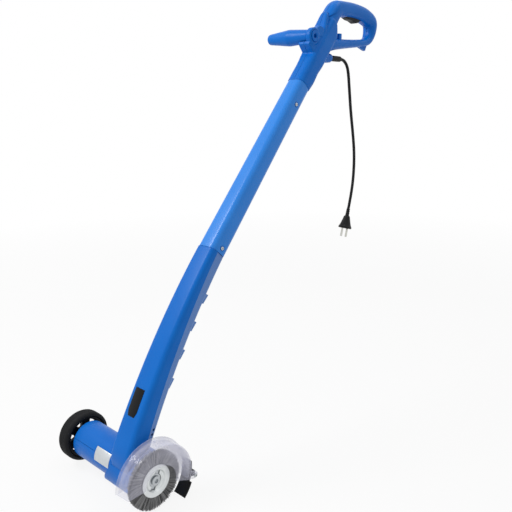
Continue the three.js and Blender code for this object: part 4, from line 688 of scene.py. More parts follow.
def section(at, width, front, rear, corner, taper=0.0):
    """A rounded rectangle that far in front of the line and behind, narrower there by the taper."""
    half_width = width / 2
    rear_half = half_width - taper
    radius = max(0.05, min(corner, rear_half - 0.1, (front + rear) / 2 - 0.1))
    ring = []
    for side, depth, quarter in [(rear_half, rear, 0), (-rear_half, rear, 1),
                                 (-half_width, -front, 2), (half_width, -front, 3)]:
        x = side - math.copysign(radius, side)
        y = depth - math.copysign(radius, depth)
        for s, d in arc(radius, quarter * TURN / 4, (quarter + 1) * TURN / 4, CORNER_STEPS, x, y):
            ring.append(beside(at, d, s))
    return ring


def blend(start, end, share):
    return start + (end - start) * share


def lower_section(at, shrink=0.0, inset=0.0):
    """The front shell's section, whose front is tucked back where the tube enters the head."""
    share = at / LOWER_LENGTH
    width = blend(LOWER["foot"][0], LOWER["top"][0], share) - 2 * (shrink + inset)
    depth = blend(LOWER["foot"][1], LOWER["top"][1], share) / 2 - shrink
    tuck = FOOT_TUCK * (at / FOOT_STATION) ** 2 if at < 0 else 0.0
    return section(at, width, depth - tuck, depth, max(1.0, LOWER["corner"] - shrink - inset))


def upper_size(at, shrink=0.0):
    """The upper tube's width, its reach in front and behind, and its corner."""
    share = (at - LOWER_LENGTH) / (UPPER_TOP - LOWER_LENGTH)
    width = blend(UPPER["foot"][0], UPPER["top"][0], share) - 2 * shrink
    depth = blend(UPPER["foot"][1], UPPER["top"][1], share) / 2 - shrink
    return width, depth, depth, max(1.0, UPPER["corner"] - shrink)


def lower_rear(at):
    """How far the rear strip reaches behind the line."""
    share = at / LOWER_LENGTH
    return blend(LOWER["foot"][1], LOWER["top"][1], share) / 2 + blend(*REAR_EXTRA, share)


def parting_at(at):
    """How far behind the line the lower tube's two mouldings part."""
    return blend(PARTING_FOOT, PARTING_TOP, at / LOWER_LENGTH)


def strip_section(at, shrink=0.0):
    """The rear strip's section: it starts at the parting line and narrows to the rear."""
    width = blend(LOWER["foot"][0], LOWER["top"][0], at / LOWER_LENGTH) - 2 * (REAR_INSET + shrink)
    corner = max(1.0, LOWER["corner"] - shrink - REAR_INSET)
    return section(at, width, corner - parting_at(at), lower_rear(at) - shrink, corner, REAR_TAPER)


def steps_between(start, end, pitch=TUBE_PITCH):
    """Stations from the start to the end, about a pitch apart."""
    count = max(1, round((end - start) / pitch))
    return [start + (end - start) * step / count for step in range(count + 1)]


print("upper tube's width at its ends:", *[upper_size(at)[0] for at in (LOWER_LENGTH, UPPER_TOP)])

# %% [markdown]
# ## The head and the lower tube
# The head is a motor tube with a wider gear housing at its brush end. It is moulded in halves: the
# front shell carries the upper half of the head and the front of the lower tube in one piece, a
# narrower rear strip closes the tube and a bottom shell closes the head. Their parting lines are
# real gaps, cut by the same planes that the moulds part on.

# %% Sizes of the head
MOTOR_RADIUS, GEAR_RADIUS, HEAD_WALL = 33.4, 40.0, 2.5
MOTOR_END, HEAD_FACE, HEAD_EDGE = -144.0, 33.0, 2.0
GEAR_ROOM = -4.0
NOSE_BORE, AXLE_BORE = 9.0, 4.3
STEP_STATION, STEP_LEAN = -33.0, math.radians(33)
PARTING_GAP = 0.5
FAR = 600.0


def head_solid():
    """The motor's tube, and round the gears a wider one that starts further out at the bottom."""
    tube = turned("head", soften([
        (0, MOTOR_END), (MOTOR_RADIUS, MOTOR_END), (MOTOR_RADIUS, HEAD_FACE - 2), (0, HEAD_FACE - 2),
    ], HEAD_EDGE * 1.4), 128)
    housing = turned("gear_housing", soften([
        (0, MOTOR_END / 2), (GEAR_RADIUS, MOTOR_END / 2), (GEAR_RADIUS, HEAD_FACE), (0, HEAD_FACE),
    ], HEAD_EDGE * 1.2), 128)
    corner = GEAR_RADIUS * 4
    lean = math.tan(STEP_LEAN)
    keep = [(STEP_STATION + corner * lean, corner), (FAR, corner), (FAR, -corner),
            (STEP_STATION - corner * lean, -corner)]
    beyond = skin("beyond_step", [[(x, y, z) for z, y in keep] for x in (-corner, corner)])
    shared(housing, beyond)
    return unite(tube, housing)


def head_hollow():
    """The room for the motor, and the wider one for the gears."""
    inner = GEAR_RADIUS - HEAD_WALL
    return turned("head_hollow", [
        (0, MOTOR_END + HEAD_WALL), (MOTOR_RADIUS - HEAD_WALL, MOTOR_END + HEAD_WALL),
        (MOTOR_RADIUS - HEAD_WALL, GEAR_ROOM), (inner, GEAR_ROOM), (inner, HEAD_FACE - HEAD_WALL),
        (0, HEAD_FACE - HEAD_WALL)], 96)


def head_bores():
    """The spindle's bore in the brush's end and the wheel axle's in the other."""
    return (rod("nose_bore", NOSE_BORE, 0, HEAD_FACE + OVERRUN),
            rod("axle_bore", AXLE_BORE, MOTOR_END - 1, -100))


print("head from", MOTOR_END, "to", HEAD_FACE, "along the spindle")

# %% [markdown]
# ### Where the moulds part
# Two cutters keep one side of a parting line each: a plane through the head, square to the tube's
# foot, and a curved one down the tube. Each stands half the gap back from its line.

# %% Parting lines
def head_half(upper):
    """Everything on one side of the plane through the spindle that the tube stands square on."""
    near = PARTING_GAP / 2 if upper else -PARTING_GAP / 2
    far = FAR if upper else -FAR
    turn_by = -FOOT_LEAN
    outline = []
    for x, y in [(-FAR, near), (FAR, near), (FAR, far), (-FAR, far)]:
        outline.append((x * math.cos(turn_by) - y * math.sin(turn_by),
                        x * math.sin(turn_by) + y * math.cos(turn_by)))
    return slab("half_space", outline, -FAR, FAR)


def parting_side(front):
    """The space in front of the lower tube's parting line, or behind it."""
    edge = -PARTING_GAP / 2 if front else PARTING_GAP / 2
    reach = 60.0
    rings = []
    for at in steps_between(FOOT_STATION - reach, LOWER_LENGTH + OVERRUN):
        near = parting_at(at) + edge
        far = -reach if front else reach
        rings.append([beside(at, d, s) for d, s in
                      [(near, reach), (near, -reach), (far, -reach), (far, reach)]])
    return skin("parting", rings)


def tube_hollow(ring):
    """The hollow of the front shell or the strip, whose sections the given function makes."""
    return skin("tube_hollow", [ring(at, LOWER["wall"])
                                for at in steps_between(FOOT_STATION - 1, LOWER_LENGTH + OVERRUN)])


print("the parting line runs from", parting_at(0), "to", parting_at(LOWER_LENGTH), "behind the line")

# %% [markdown]
# ### The seats of the badge and the rating plate
# Both plates sit in shallow seats of the mouldings. A plate and its seat come from one function: with
# a margin it makes the cutter of the seat, and without one the plate itself.

# %% Badge and rating plate, and their seats
BADGE = {"along": 55.0, "length": 46.0, "side": -1.5, "width": 21.5, "end_width": 15.0,
         "end_length": 9.0, "thickness": 0.9}
LABEL = {"start": -77.0, "length": 41.0, "from": math.radians(137), "to": math.radians(179),
         "thickness": 0.5}


def badge_solid(margin, rise=0.0):
    """The plate that follows the tube's front face, or with a margin its seat."""
    rings = []
    start = BADGE["along"] - margin
    for at in steps_between(start, BADGE["along"] + BADGE["length"] + margin, 3):
        share = min(1.0, (at - start) / BADGE["end_length"])
        half_width = blend(BADGE["end_width"], BADGE["width"], share) / 2 + margin
        front = blend(LOWER["foot"][1], LOWER["top"][1], at / LOWER_LENGTH) / 2
        near = BADGE["thickness"] / 2 + rise
        far = BADGE["thickness"] / 2 + margin
        rings.append([beside(at, d, s + BADGE["side"]) for d, s in [
            (-front - near, half_width), (-front - near, -half_width),
            (-front + far, -half_width), (-front + far, half_width)]])
    return skin("badge", rings)


def label_solid(margin, name="label"):
    inner = MOTOR_RADIUS - LABEL["thickness"] / 2 - margin
    outer = MOTOR_RADIUS + LABEL["thickness"] / 2
    start, end = LABEL["from"] - margin / inner, LABEL["to"] + margin / inner
    outline = arc(outer, start, end, 24) + arc(inner, end, start, 24)
    return slab(name, outline, LABEL["start"] - margin, LABEL["start"] + LABEL["length"] + margin)


print("badge", BADGE["length"], "mm long, rating plate", LABEL["length"])

# %% [markdown]
# ### The front shell and the bottom shell
# The front shell is one moulding: the front of the lower tube and the upper half of the head. The
# bottom shell is the lower half of the same head, and its cooling slots come after the next step,
# which makes the tree that sets them.

# %% Front shell
front = skin("front_shell_moulding", [
    lower_section(at) for at in steps_between(FOOT_STATION, LOWER_LENGTH)])
carve(front, tube_hollow(lower_section))
shared(front, parting_side(True))
upper_head = head_solid()
carve(upper_head, skin("tube_room", [lower_section(at, LOWER["wall"]) for at in
                                     steps_between(FOOT_STATION, 30.0)]))
unite(front, upper_head)
carve(front, head_hollow(), badge_solid(GAP), label_solid(GAP), *head_bores())
shared(front, head_half(True))
dress(front, blue_abs, "frame", ["front_shell"])

# %% Bottom shell
bottom = head_solid()
carve(bottom, head_hollow(), label_solid(GAP), *head_bores())
shared(bottom, head_half(False))
print("bottom shell box", [round(v / MM, 1) for v in bottom.dimensions])

# %% [markdown]
# ## Patterns by Geometry Nodes
# What repeats is made by a node tree: one template is set on points, turned to each point's own
# direction and made real. The same tree serves the slots, the wheel's windows and the screws. Its
# inputs are the template and the material. The points carry an attribute with the direction that
# the template's own Z should take, and another with the direction of its X.

# %% Trees
def new_tree(name, *inputs):
    """A geometry tree with named inputs after its geometry."""
    tree = bpy.data.node_groups.new(name, "GeometryNodeTree")
    tree.interface.new_socket("Geometry", in_out="INPUT", socket_type="NodeSocketGeometry")
    for label, kind, default in inputs:
        socket = tree.interface.new_socket(label, in_out="INPUT", socket_type=kind)
        if default is not None:
            socket.default_value = default
    tree.interface.new_socket("Geometry", in_out="OUTPUT", socket_type="NodeSocketGeometry")
    return tree, add_node(tree, "NodeGroupInput").outputs


def end_tree(tree, shape, finish):
    """Ends a tree: what it made is real geometry with its finish."""
    real = add_node(tree, "GeometryNodeRealizeInstances", {"Geometry": shape})
    painted = add_node(tree, "GeometryNodeSetMaterial", {"Geometry": real, "Material": finish})
    add_node(tree, "NodeGroupOutput", {"Geometry": painted})
    print(tree.name, "has", len(tree.nodes), "nodes")


def run_tree(piece, tree, **values):
    """Runs a tree on a piece with its inputs set by their identifiers, and keeps the result."""
    step = piece.modifiers.new(tree.name, "NODES")
    step.node_group = tree
    for item in tree.interface.items_tree:
        if item.in_out == "INPUT" and item.name in values:
            step[item.identifier] = values[item.name]
    return settle(piece)


pattern_tree, given = new_tree("template_on_points", ("Template", "NodeSocketObject", None),
                               ("Finish", "NodeSocketMaterial", None))
template = add_node(pattern_tree, "GeometryNodeObjectInfo", {"Object": given["Template"]})
main_way, side_way = [
    add_node(pattern_tree, "GeometryNodeInputNamedAttribute", {"Name": label},
             data_type="FLOAT_VECTOR") for label in ("main_way", "side_way")]
facing = add_node(pattern_tree, "FunctionNodeAxesToRotation", {
    "Primary Axis": main_way, "Secondary Axis": side_way}, primary_axis="Z", secondary_axis="X")
copies = add_node(pattern_tree, "GeometryNodeInstanceOnPoints", {
    "Points": given["Geometry"], "Instance": template.outputs["Geometry"], "Rotation": facing})
end_tree(pattern_tree, copies, given["Finish"])

# %% [markdown]
# ### Setting a template on places
# A template is made about the spindle's axis like everything else, and is then set upright at its
# own origin. The pattern's mesh holds one point a place with its two directions.

# %% Patterns
TO_TEMPLATE = Matrix(((0, 1, 0, 0), (0, 0, 1, 0), (1, 0, 0, 0), (0, 0, 0, 1)))


def local_solid(piece):
    """Sets a solid that was made about the spindle's axis upright at the template's own origin."""
    piece.data.transform(TO_TEMPLATE @ Matrix.Translation(-row(0, 0)))
    return piece


def pattern(name, template_piece, places, material=None):
    """One mesh of a template on each (point, main direction, side direction), in millimetres."""
    mesh = bpy.data.meshes.new(name)
    mesh.from_pydata([row(*point) for point, _, _ in places], [], [])
    for label, column in (("main_way", 1), ("side_way", 2)):
        attribute = mesh.attributes.new(label, "FLOAT_VECTOR", "POINT")
        for index, place_row in enumerate(places):
            rear, rise, side = place_row[column]
            attribute.data[index].vector = (side, rear, rise)
    piece = add_object(name, mesh)
    run_tree(piece, pattern_tree, Template=template_piece, Finish=material)
    bpy.data.objects.remove(template_piece)
    for label in ("main_way", "side_way"):
        if label in piece.data.attributes:
            piece.data.attributes.remove(piece.data.attributes[label])
    print(name, "on", len(places), "places")
    return piece

# %% [markdown]
# ### The cooling slots
# Four round-ended slots across the bottom shell let air in. One cutter is set on four places.

# %% Cooling slots in the bottom shell
VENT = {"count": 4, "width": 3.0, "length": 24.0, "pitch": 10.0, "start": -128.0, "inner": 22.0,
        "angle": math.radians(-62)}
vent_way = (math.cos(VENT["angle"]), math.sin(VENT["angle"]), 0)
vent_side = (-math.sin(VENT["angle"]), math.cos(VENT["angle"]), 0)
slot_outline = arc(VENT["width"] / 2, -TURN / 4, TURN / 4, 8, VENT["length"] / 2)
slot_outline += arc(VENT["width"] / 2, TURN / 4, TURN * 3 / 4, 8, -VENT["length"] / 2)
slot = local_solid(slab("slot", slot_outline, 0, GEAR_RADIUS - 20))
vent_rear, vent_rise = vent_way[0] * VENT["inner"], vent_way[1] * VENT["inner"]
slots = pattern("cooling_slots", slot, [
    ((vent_rear, vent_rise, VENT["start"] + index * VENT["pitch"]), vent_way, vent_side)
    for index in range(VENT["count"])])
carve(bottom, slots)
dress(bottom, blue_abs, "frame", ["head_bottom_shell"])

# %% [markdown]
# ## The rear strip
# The strip that closes the lower tube has four raised screw pads, wedges that die away downwards,
# and two square openings near the head that let warm air out.

# %% Rear strip
PAD = {"first": 286.0, "pitch": 51.2, "count": 4, "width": 34.0, "length": 18.0, "proud": 2.6,
       "recess": 0.8}
SIDE_VENT = {"size": 4.6, "first": 35.5, "pitch": 8.5, "depth": 9.0}
SCREW = {"head": 3.4, "height": 2.4, "shank": 1.6}
SEAT_CUTTER, HAIR = 3.6, 0.02

pad_places = [PAD["first"] - index * PAD["pitch"] for index in range(PAD["count"])]
screw_places = [at - PAD["length"] / 2 for at in pad_places]
strip = skin("rear_strip_moulding", [
    strip_section(at) for at in steps_between(FOOT_STATION, LOWER_LENGTH)])
for at in pad_places:
    behind = lower_rear(at)
    buried = behind - LOWER["corner"]
    outline = [beside(at, buried), beside(at, behind + PAD["proud"]),
               beside(at - PAD["length"], behind + HAIR), beside(at - PAD["length"], buried)]
    pad = slab("pad", [(x, y) for x, y, _ in outline], -PAD["width"] / 2, PAD["width"] / 2)
    unite(strip, rounded(pad, 0.5, 2))
carve(strip, tube_hollow(strip_section))
shared(strip, parting_side(False))
for at in screw_places:
    lean = along(at)[2]
    inward = (-math.cos(lean), math.sin(lean), 0)
    behind = lower_rear(at)
    seat_radius, seat_depth = SCREW["head"] + GAP, SEAT_CUTTER + PAD["recess"]
    carve(strip, turned("head_seat", [
        (0, 0), (seat_radius, 0), (seat_radius, seat_depth), (0, seat_depth)], 32,
        beside(at, behind + SEAT_CUTTER), inward))
for index in range(2):
    at = SIDE_VENT["first"] + index * SIDE_VENT["pitch"]
    width = blend(LOWER["foot"][0], LOWER["top"][0], at / LOWER_LENGTH) - 2 * REAR_INSET
    x, y, z = beside(at, (lower_rear(at) + parting_at(at)) / 2, (width - REAR_TAPER) / 2)
    reach = SIDE_VENT["size"] / 2
    carve(strip, block("vent", x - reach, y - reach, x + reach, y + reach,
                       z - SIDE_VENT["depth"], z + REAR_TAPER))
carve(strip, rod("head_room", GEAR_RADIUS + GAP, MOTOR_END, HEAD_FACE + 1, sides=128))
dress(strip, strip_abs_painted_sheen, "frame", ["rear_shell"])

# %% [markdown]
# ## Badge and rating plate
# The real machine carries a badge on the tube and a rating plate on the motor. Both are bare here:
# a gloss black plate and a brushed foil one, each with its edge turned down.

# %% Badge and rating plate
badge = rounded(badge_solid(0, 0.15), 0.35, 3, 50)
dress(badge, badge_black, "frame", ["badge_plate"])
label = rounded(label_solid(0, "rating_plate_foil"), 0.12, 2, 50)
dress(label, foil, "frame", ["rating_plate"])

# %% [markdown]
# ## The screws
# The strip, the tube's joints, the handle and the guard are held by the same pan-head screw. One
# screw is turned and gets its cross recess, and the tree sets it on every place at once.

# %% Pan-head screws
PAN_LENGTH = 9.0
RECESS = {"width": 0.9, "length": 3.8, "depth": 1.3}


def pan_screw():
    """A screw along its own Z, its head's top at the origin and its point ahead."""
    head, height, shank = SCREW["head"], SCREW["height"], SCREW["shank"]
    piece = turned("pan_screw", soften([
        (0, 0), (head * 0.92, 0.1), (head, height), (shank, height), (shank, height + PAN_LENGTH - 1),
        (0, height + PAN_LENGTH)], 0.9, 4), 24)
    half_width, half_length = RECESS["width"] / 2, RECESS["length"] / 2
    for x, y in ((half_width, half_length), (half_length, half_width)):
        carve(piece, block("recess", -x, -y, x, y, -1, RECESS["depth"]))
    local_solid(piece)
    return piece


JOINT = {"above": 10.0, "upper": 681.0, "pocket": 4.6, "pocket_depth": 1.2}
places = []
for at in screw_places:
    lean = along(at)[2]
    seat = lower_rear(at) - PAD["recess"] + GAP + SCREW["height"]
    places.append((beside(at, seat), (-math.cos(lean), math.sin(lean), 0), (0, 0, 1)))
joint_places = [LOWER_LENGTH + JOINT["above"], JOINT["upper"]]
for at in joint_places:
    rear, rise, _ = along(at)
    seat = upper_size(at)[0] / 2 - JOINT["pocket_depth"] + GAP + SCREW["height"]
    places.append(((rear, rise, seat), (0, 0, -1), (1, 0, 0)))
print("screw places so far:", len(places))

# %% [markdown]
# ## The D-handle
# The handle is two moulded halves that meet in the mid-plane. Its column grips the tube, its D runs
# back from the column's top and returns as a thin lower bar, and a round seat in front takes the
# side grip. The D's line and its thickness are smoothed between a few chosen stations. Where the
# forms meet, a real moulding has generous fillets: the forms are joined, remeshed on a fine grid
# and relaxed, which rounds every inner corner, and the crisp details are joined afterwards.

# %% The handle's sizes
HANDLE = {"neck": 726.0, "flare": 747.0, "waist": 770.0, "housing": 790.0, "shoulder": 845.0,
          "crest": 861.5, "end": 880.0, "swell": (0.9, 3.4, 2.4), "width": 37.0,
          "housing_width": 38.8, "front": 18.6, "rear": 20.4, "corner": 9.0, "lip": 0.9, "wall": 2.5}
LOOP_LENGTH, LOOP_HEIGHT, GRIP_HALF_HEIGHT, GRIP_HALF_WIDTH = 150.0, 66.0, 15.0, 16.0
LOOP_SHARES = [
    (-0.52, -0.5, 1.06, 1.0), (-0.35, -0.055, 1.03, 1.02), (-0.17, 0.005, 1.0, 1.0),
    (0.1, 0.0, 1.0, 1.0), (0.34, -0.08, 1.0, 1.0), (0.505, -0.25, 0.92, 0.95),
    (0.51, -0.54, 0.76, 0.86), (0.45, -0.78, 0.58, 0.76), (0.335, -0.88, 0.52, 0.76),
    (0.167, -0.925, 0.52, 0.78), (-0.133, -0.99, 0.6, 0.84), (-0.42, -1.05, 0.76, 0.95),
    (-0.56, -1.1, 0.9, 0.95)]
bolt_low, bolt_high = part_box("aux_bolt")
SEAT = {"rear": ((bolt_low.y + bolt_high.y) / 2 - AXIS_Y) / MM,
        "rise": ((bolt_low.z + bolt_high.z) / 2 - AXIS_Z) / MM,
        "radius": 15.6, "grip_face": 5.0, "face": 16.0, "hub": 10.4, "proud": 1.6, "bolt": 4.0,
        "socket": 3.5, "corbel": 13.5}
GLAND = {"start": 470.0, "end": 513.0, "rise": 680.5, "root": 12.0, "tip": 8.6}
print("side grip's seat at", round(SEAT["rear"], 2), round(SEAT["rise"], 2))

# %% [markdown]
# ### Smooth lines
# A moulded handle has few straight runs and no kinks. A smooth curve through a few stations gives
# its line and its sizes, and it passes through each station, so that a measured size holds. Its pace
# follows the root of each gap, which keeps it from swinging out where stations stand unevenly.

# %% A smooth curve
def smooth_between(points, share):
    """A place on the smooth curve through points of any number of values."""
    line = [Vector(point) for point in points]
    reach = min(share * (len(line) - 1), len(line) - 1 - 1e-9)
    index = int(reach)
    weight = reach - index
    second, third = line[index], line[index + 1]
    first = line[index - 1] if index else 2 * second - third
    fourth = line[index + 2] if index + 2 < len(line) else 2 * third - second
    spans = [math.sqrt((b - a).length) or 1.0 for a, b in
             [(first, second), (second, third), (third, fourth)]]
    leave = ((second - first) / spans[0] - (third - first) / (spans[0] + spans[1])
             + (third - second) / spans[1]) * spans[1]
    arrive = ((third - second) / spans[1] - (fourth - second) / (spans[1] + spans[2])
              + (fourth - third) / spans[2]) * spans[1]
    cube = 2 * second - 2 * third + leave + arrive
    square = -3 * second + 3 * third - 2 * leave - arrive
    return second + leave * weight + square * weight ** 2 + cube * weight ** 3


def smooth_five(rows, share):
    """Smooths five values at once between stations."""
    near = smooth_between([values[:4] for values in rows], share)
    last = smooth_between([(values[0], values[4]) for values in rows], share)
    return (*near, last[1])


def on_bar(share, level):
    """A place of the D's side view, from shares of its length and height."""
    return GRIP_REAR + share * LOOP_LENGTH, GRIP_RISE + level * LOOP_HEIGHT


loop_middle = smooth_between([on_bar(x, y) for x, y, _, _ in LOOP_SHARES], 0.5)
print("half way round, the D is at", [round(v, 1) for v in loop_middle])

# %% [markdown]
# ### The handle's two forms
# The D is a row of ovals about its line, a little squarer than an ellipse, so that it fills the hand.
# The column is a row of the tube's own sections, which swell round the tube and then widen into the
# housing. Both can be made smaller all round, which gives the hollow inside them.

# %% The D and the column
OVAL = 2.5
LOOK_AHEAD = 0.002
COLUMN_RINGS = 60


def loop_skin(name, shrink=0.0, rings=96, sides=32):
    """The D, as fat oval rings about its smooth line."""
    line = [on_bar(x, y) for x, y, _, _ in LOOP_SHARES]
    sizes = [(h * GRIP_HALF_HEIGHT, w * GRIP_HALF_WIDTH) for _, _, h, w in LOOP_SHARES]
    made = []
    for ring in range(rings + 1):
        share = ring / rings
        centre = smooth_between(line, share)
        ahead = (smooth_between(line, min(1, share + LOOK_AHEAD))
                 - smooth_between(line, max(0, share - LOOK_AHEAD)))
        ahead.normalize()
        height, width = smooth_between(sizes, share)
        places = []
        for side in range(sides):
            angle = TURN * side / sides
            fat = (abs(math.cos(angle)) ** OVAL + abs(math.sin(angle)) ** OVAL) ** (-1 / OVAL)
            up = (height - shrink) * math.cos(angle) * fat
            across = (width - shrink) * math.sin(angle) * fat
            places.append((centre.x - ahead.y * up, centre.y + ahead.x * up, across))
        made.append(places)
    return skin(name, made)


def column_skin(name, shrink=0.0, start=None):
    """The neck that grips the tube and the column above it."""
    stations = []
    lip = HANDLE["lip"]
    for station, swell in zip(("neck", "flare", "waist"), HANDLE["swell"]):
        width, depth, _, corner = upper_size(HANDLE[station])
        stations.append((HANDLE[station], width + 2 * lip, depth + lip, depth + swell, corner))
    stations += [(at, width, HANDLE["front"], HANDLE["rear"], HANDLE["corner"]) for at, width in (
        (HANDLE["housing"], HANDLE["housing_width"]), (HANDLE["shoulder"], HANDLE["width"]),
        (HANDLE["crest"], HANDLE["width"]))]
    stations.append((HANDLE["end"], HANDLE["width"], HANDLE["front"], HANDLE["rear"] / 4,
                     HANDLE["corner"]))
    rings = []
    for step in range(COLUMN_RINGS + 1):
        at, width, front_reach, rear_reach, corner = smooth_five(stations, step / COLUMN_RINGS)
        if start is not None and at < start:
            continue
        last = at >= HANDLE["end"] - shrink
        rings.append(section(min(at, HANDLE["end"] - shrink), width - 2 * shrink, front_reach - shrink,
                             rear_reach - shrink, max(1.0, corner - shrink)))
        if last:
            break
    return skin(name, rings)


print("the column grips", UPPER_TOP - HANDLE["neck"], "mm of the tube")

# %% [markdown]
# ### The filleted body
# The column, the D, the side grip's round seat with the corbel that carries it, the hood over it and
# the cord's gland are joined. A remesh and a few rounds of smoothing then give the fillets.

# %% The handle's filleted body
GRID_SIZE, RELAX_ROUNDS = 1.15, 9

body = column_skin("handle_moulding")
unite(body, loop_skin("loop"))
seat_barrel = turned("seat", soften([
    (0, SEAT["grip_face"]), (SEAT["radius"], SEAT["grip_face"]),
    (SEAT["radius"], SEAT["face"]), (0, SEAT["face"])], 1.5), 64, (SEAT["rear"], SEAT["rise"], 0))
CORBEL_OUTLINE = [(0, -31), (-14, 1 - SEAT["radius"]), (-7, 0), (28, 0), (28, -15.5)]
HOOD_OUTLINE = [(0, 0), (1, 12), (18, 22), (32, 18), (32, 0)]
HOOD_SIDES = (3, 15)
corbel = slab("corbel", [(SEAT["rear"] + x, SEAT["rise"] + y) for x, y in CORBEL_OUTLINE],
              -SEAT["corbel"], SEAT["corbel"])
hood = slab("hood", soften([(SEAT["rear"] + x, SEAT["rise"] + y) for x, y in HOOD_OUTLINE], 7),
            *HOOD_SIDES)
rounded(hood, 2.5)
gland = turned("gland", soften([
    (0, 0), (GLAND["root"], 0), (GLAND["tip"], GLAND["end"] - GLAND["start"]),
    (0, GLAND["end"] - GLAND["start"])], 1.5), 48, (GLAND["start"], GLAND["rise"], 0), (1, 0, 0))
unite(body, seat_barrel, corbel, hood, gland)
grid = body.modifiers.new("grid", "REMESH")
grid.mode = "VOXEL"
grid.voxel_size = GRID_SIZE * MM
relax = body.modifiers.new("relax", "SMOOTH")
relax.factor = 0.5
relax.iterations = RELAX_ROUNDS
settle(body)
print("filleted handle faces", len(body.data.polygons))

# %% [markdown]
# ### The handle's crisp details
# A raised cap crowns the D's front corner, a leaf-shaped panel runs up to it from the side grip's
# seat, and the seat ends in a small hub with a socket for the bolt. A stop block and a fin on the
# lower bar hold the cord when it is wound up, and two small wedges stand on the neck's rear.

# %% The sizes of the crisp details
CROWN_RISE, CROWN_SIDE = 1.4, 24.0
CROWN_OUTLINE = [(474, 772), (481, 764), (489, 754.5), (511, 765.4), (522, 773.5), (526, 783),
                 (528, 800), (490, 800)]
LEAF_ROWS = [(824, 30, -2), (831, 31, 1.5), (838, 31, 3.4), (850, 30, 5.2), (864, 24.5, 8.0),
             (878, 19, 11.0), (884, 14, 11.4), (888, 8.5, 9.5), (889.5, 5, 6)]
PEG = {"place": -0.29, "width": 18.0, "length": 9.0, "height": 9.0}
FIN = {"start": 0.06, "tip": 0.385, "end": 0.43, "width": 7.0, "drop": 13.0}
NECK_PAD = {"tops": (766.0, 737.0), "necks": (2.7, 2.4), "length": 15.0, "width": 18.0,
            "proud": 1.5}
GROOVE = {"inner": 0.1, "outer": 1.1, "deep": -1.0, "out": 3.0}


def front_pad(name, rows, rings=40, corner=5.0):
    """A pad on the column's front: rows of (distance, width, proud of the front face)."""
    made = []
    for step in range(rings + 1):
        at, width, proud = smooth_between(rows, step / rings)
        made.append(section(at, max(2.0, width), HANDLE["front"] + proud, 0, corner))
    return skin(name, made)


print("the leaf is", LEAF_ROWS[-1][0] - LEAF_ROWS[0][0], "mm long")

# %% [markdown]
# ### Joining them on
# The crown is the column and the D again, a little larger and cut to its own outline, so that it lies
# on them like a cap. The other details are blocks and turned shapes with rounded edges.

# %% Crown, leaf, hub, stop block, fin and wedges
crown = unite(column_skin("crown", -CROWN_RISE), loop_skin("crown_loop", -CROWN_RISE))
shared(crown, slab("crown_edge", CROWN_OUTLINE, -CROWN_SIDE, CROWN_SIDE))
rounded(crown, 0.5, 2)
leaf = front_pad("leaf", LEAF_ROWS)
seat_centre = (SEAT["rear"], SEAT["rise"], 0)
hub_face = SEAT["face"] + SEAT["proud"]
hub = turned("hub", soften([
    (0, 10), (SEAT["hub"], 10), (SEAT["hub"], hub_face), (SEAT["bolt"] + 1.5, hub_face),
    (SEAT["bolt"] + 1.0, hub_face - 0.8), (0, hub_face - 0.8)], 0.9), 64, seat_centre)
groove_inner, groove_outer = SEAT["hub"] + GROOVE["inner"], SEAT["hub"] + GROOVE["outer"]
groove_deep, groove_out = SEAT["face"] + GROOVE["deep"], SEAT["face"] + GROOVE["out"]
hub_groove = turned("hub_groove", [
    (groove_inner, groove_deep), (groove_outer, groove_deep), (groove_outer, groove_out),
    (groove_inner, groove_out), (groove_inner, groove_deep)], 64, seat_centre)
FIN_STATION, PEG_STATION = LOOP_SHARES[9], LOOP_SHARES[10]
peg_rear, peg_rise = on_bar(PEG["place"], PEG_STATION[1])
peg_top = peg_rise + PEG_STATION[2] * GRIP_HALF_HEIGHT + PEG["height"]
peg = rounded(block("peg", peg_rear - PEG["length"] / 2, peg_rise, peg_rear + PEG["length"] / 2,
                    peg_top, -PEG["width"] / 2, PEG["width"] / 2), 1.6, 4)
fin_start, fin_tip, fin_end = [on_bar(FIN[key], FIN_STATION[1]) for key in ("start", "tip", "end")]
fin = rounded(slab("fin", [fin_start, (fin_tip[0], fin_tip[1] - FIN["drop"]), fin_end, fin_tip],
                   -FIN["width"] / 2, FIN["width"] / 2), 1.2, 4)
unite(body, crown, leaf, peg, fin)
for at, neck in zip(NECK_PAD["tops"], NECK_PAD["necks"]):
    behind = upper_size(at)[1] + neck
    buried = behind - 2
    low = at - NECK_PAD["length"]
    wedge = [beside(at, buried), beside(at, behind + NECK_PAD["proud"]), beside(low, behind),
             beside(low, buried)]
    unite(body, rounded(slab("neck_pad", [(x, y) for x, y, _ in wedge], -NECK_PAD["width"] / 2,
                             NECK_PAD["width"] / 2), 0.5, 2))
carve(body, hub_groove)
unite(body, hub)
print("detailed handle faces", len(body.data.polygons))

# %% [markdown]
# ### Slots, bores and the two halves
# The body is hollowed and gets the trigger's slot, the bore for the side grip's bolt and the seats
# of the screws. It is then parted in the mid-plane, with a real gap between the halves.

# %% The trigger's slot, the bores and the two halves
TRIGGER = {"front": 557.0, "length": 54.0, "width": 13.6, "top": 769.4, "proud": 8.0,
           "pivot_rear": 4.0, "pivot_rise": 767.0, "margin": 1.6}
COLUMN_SCREW = (822.0, 9.5)
SCREW_RECESS = 1.5
GLAND_BORE = {"radius": 5.5, "length": 90.0, "inside": 20.0}
SCREWED_STATIONS = (6, 9)

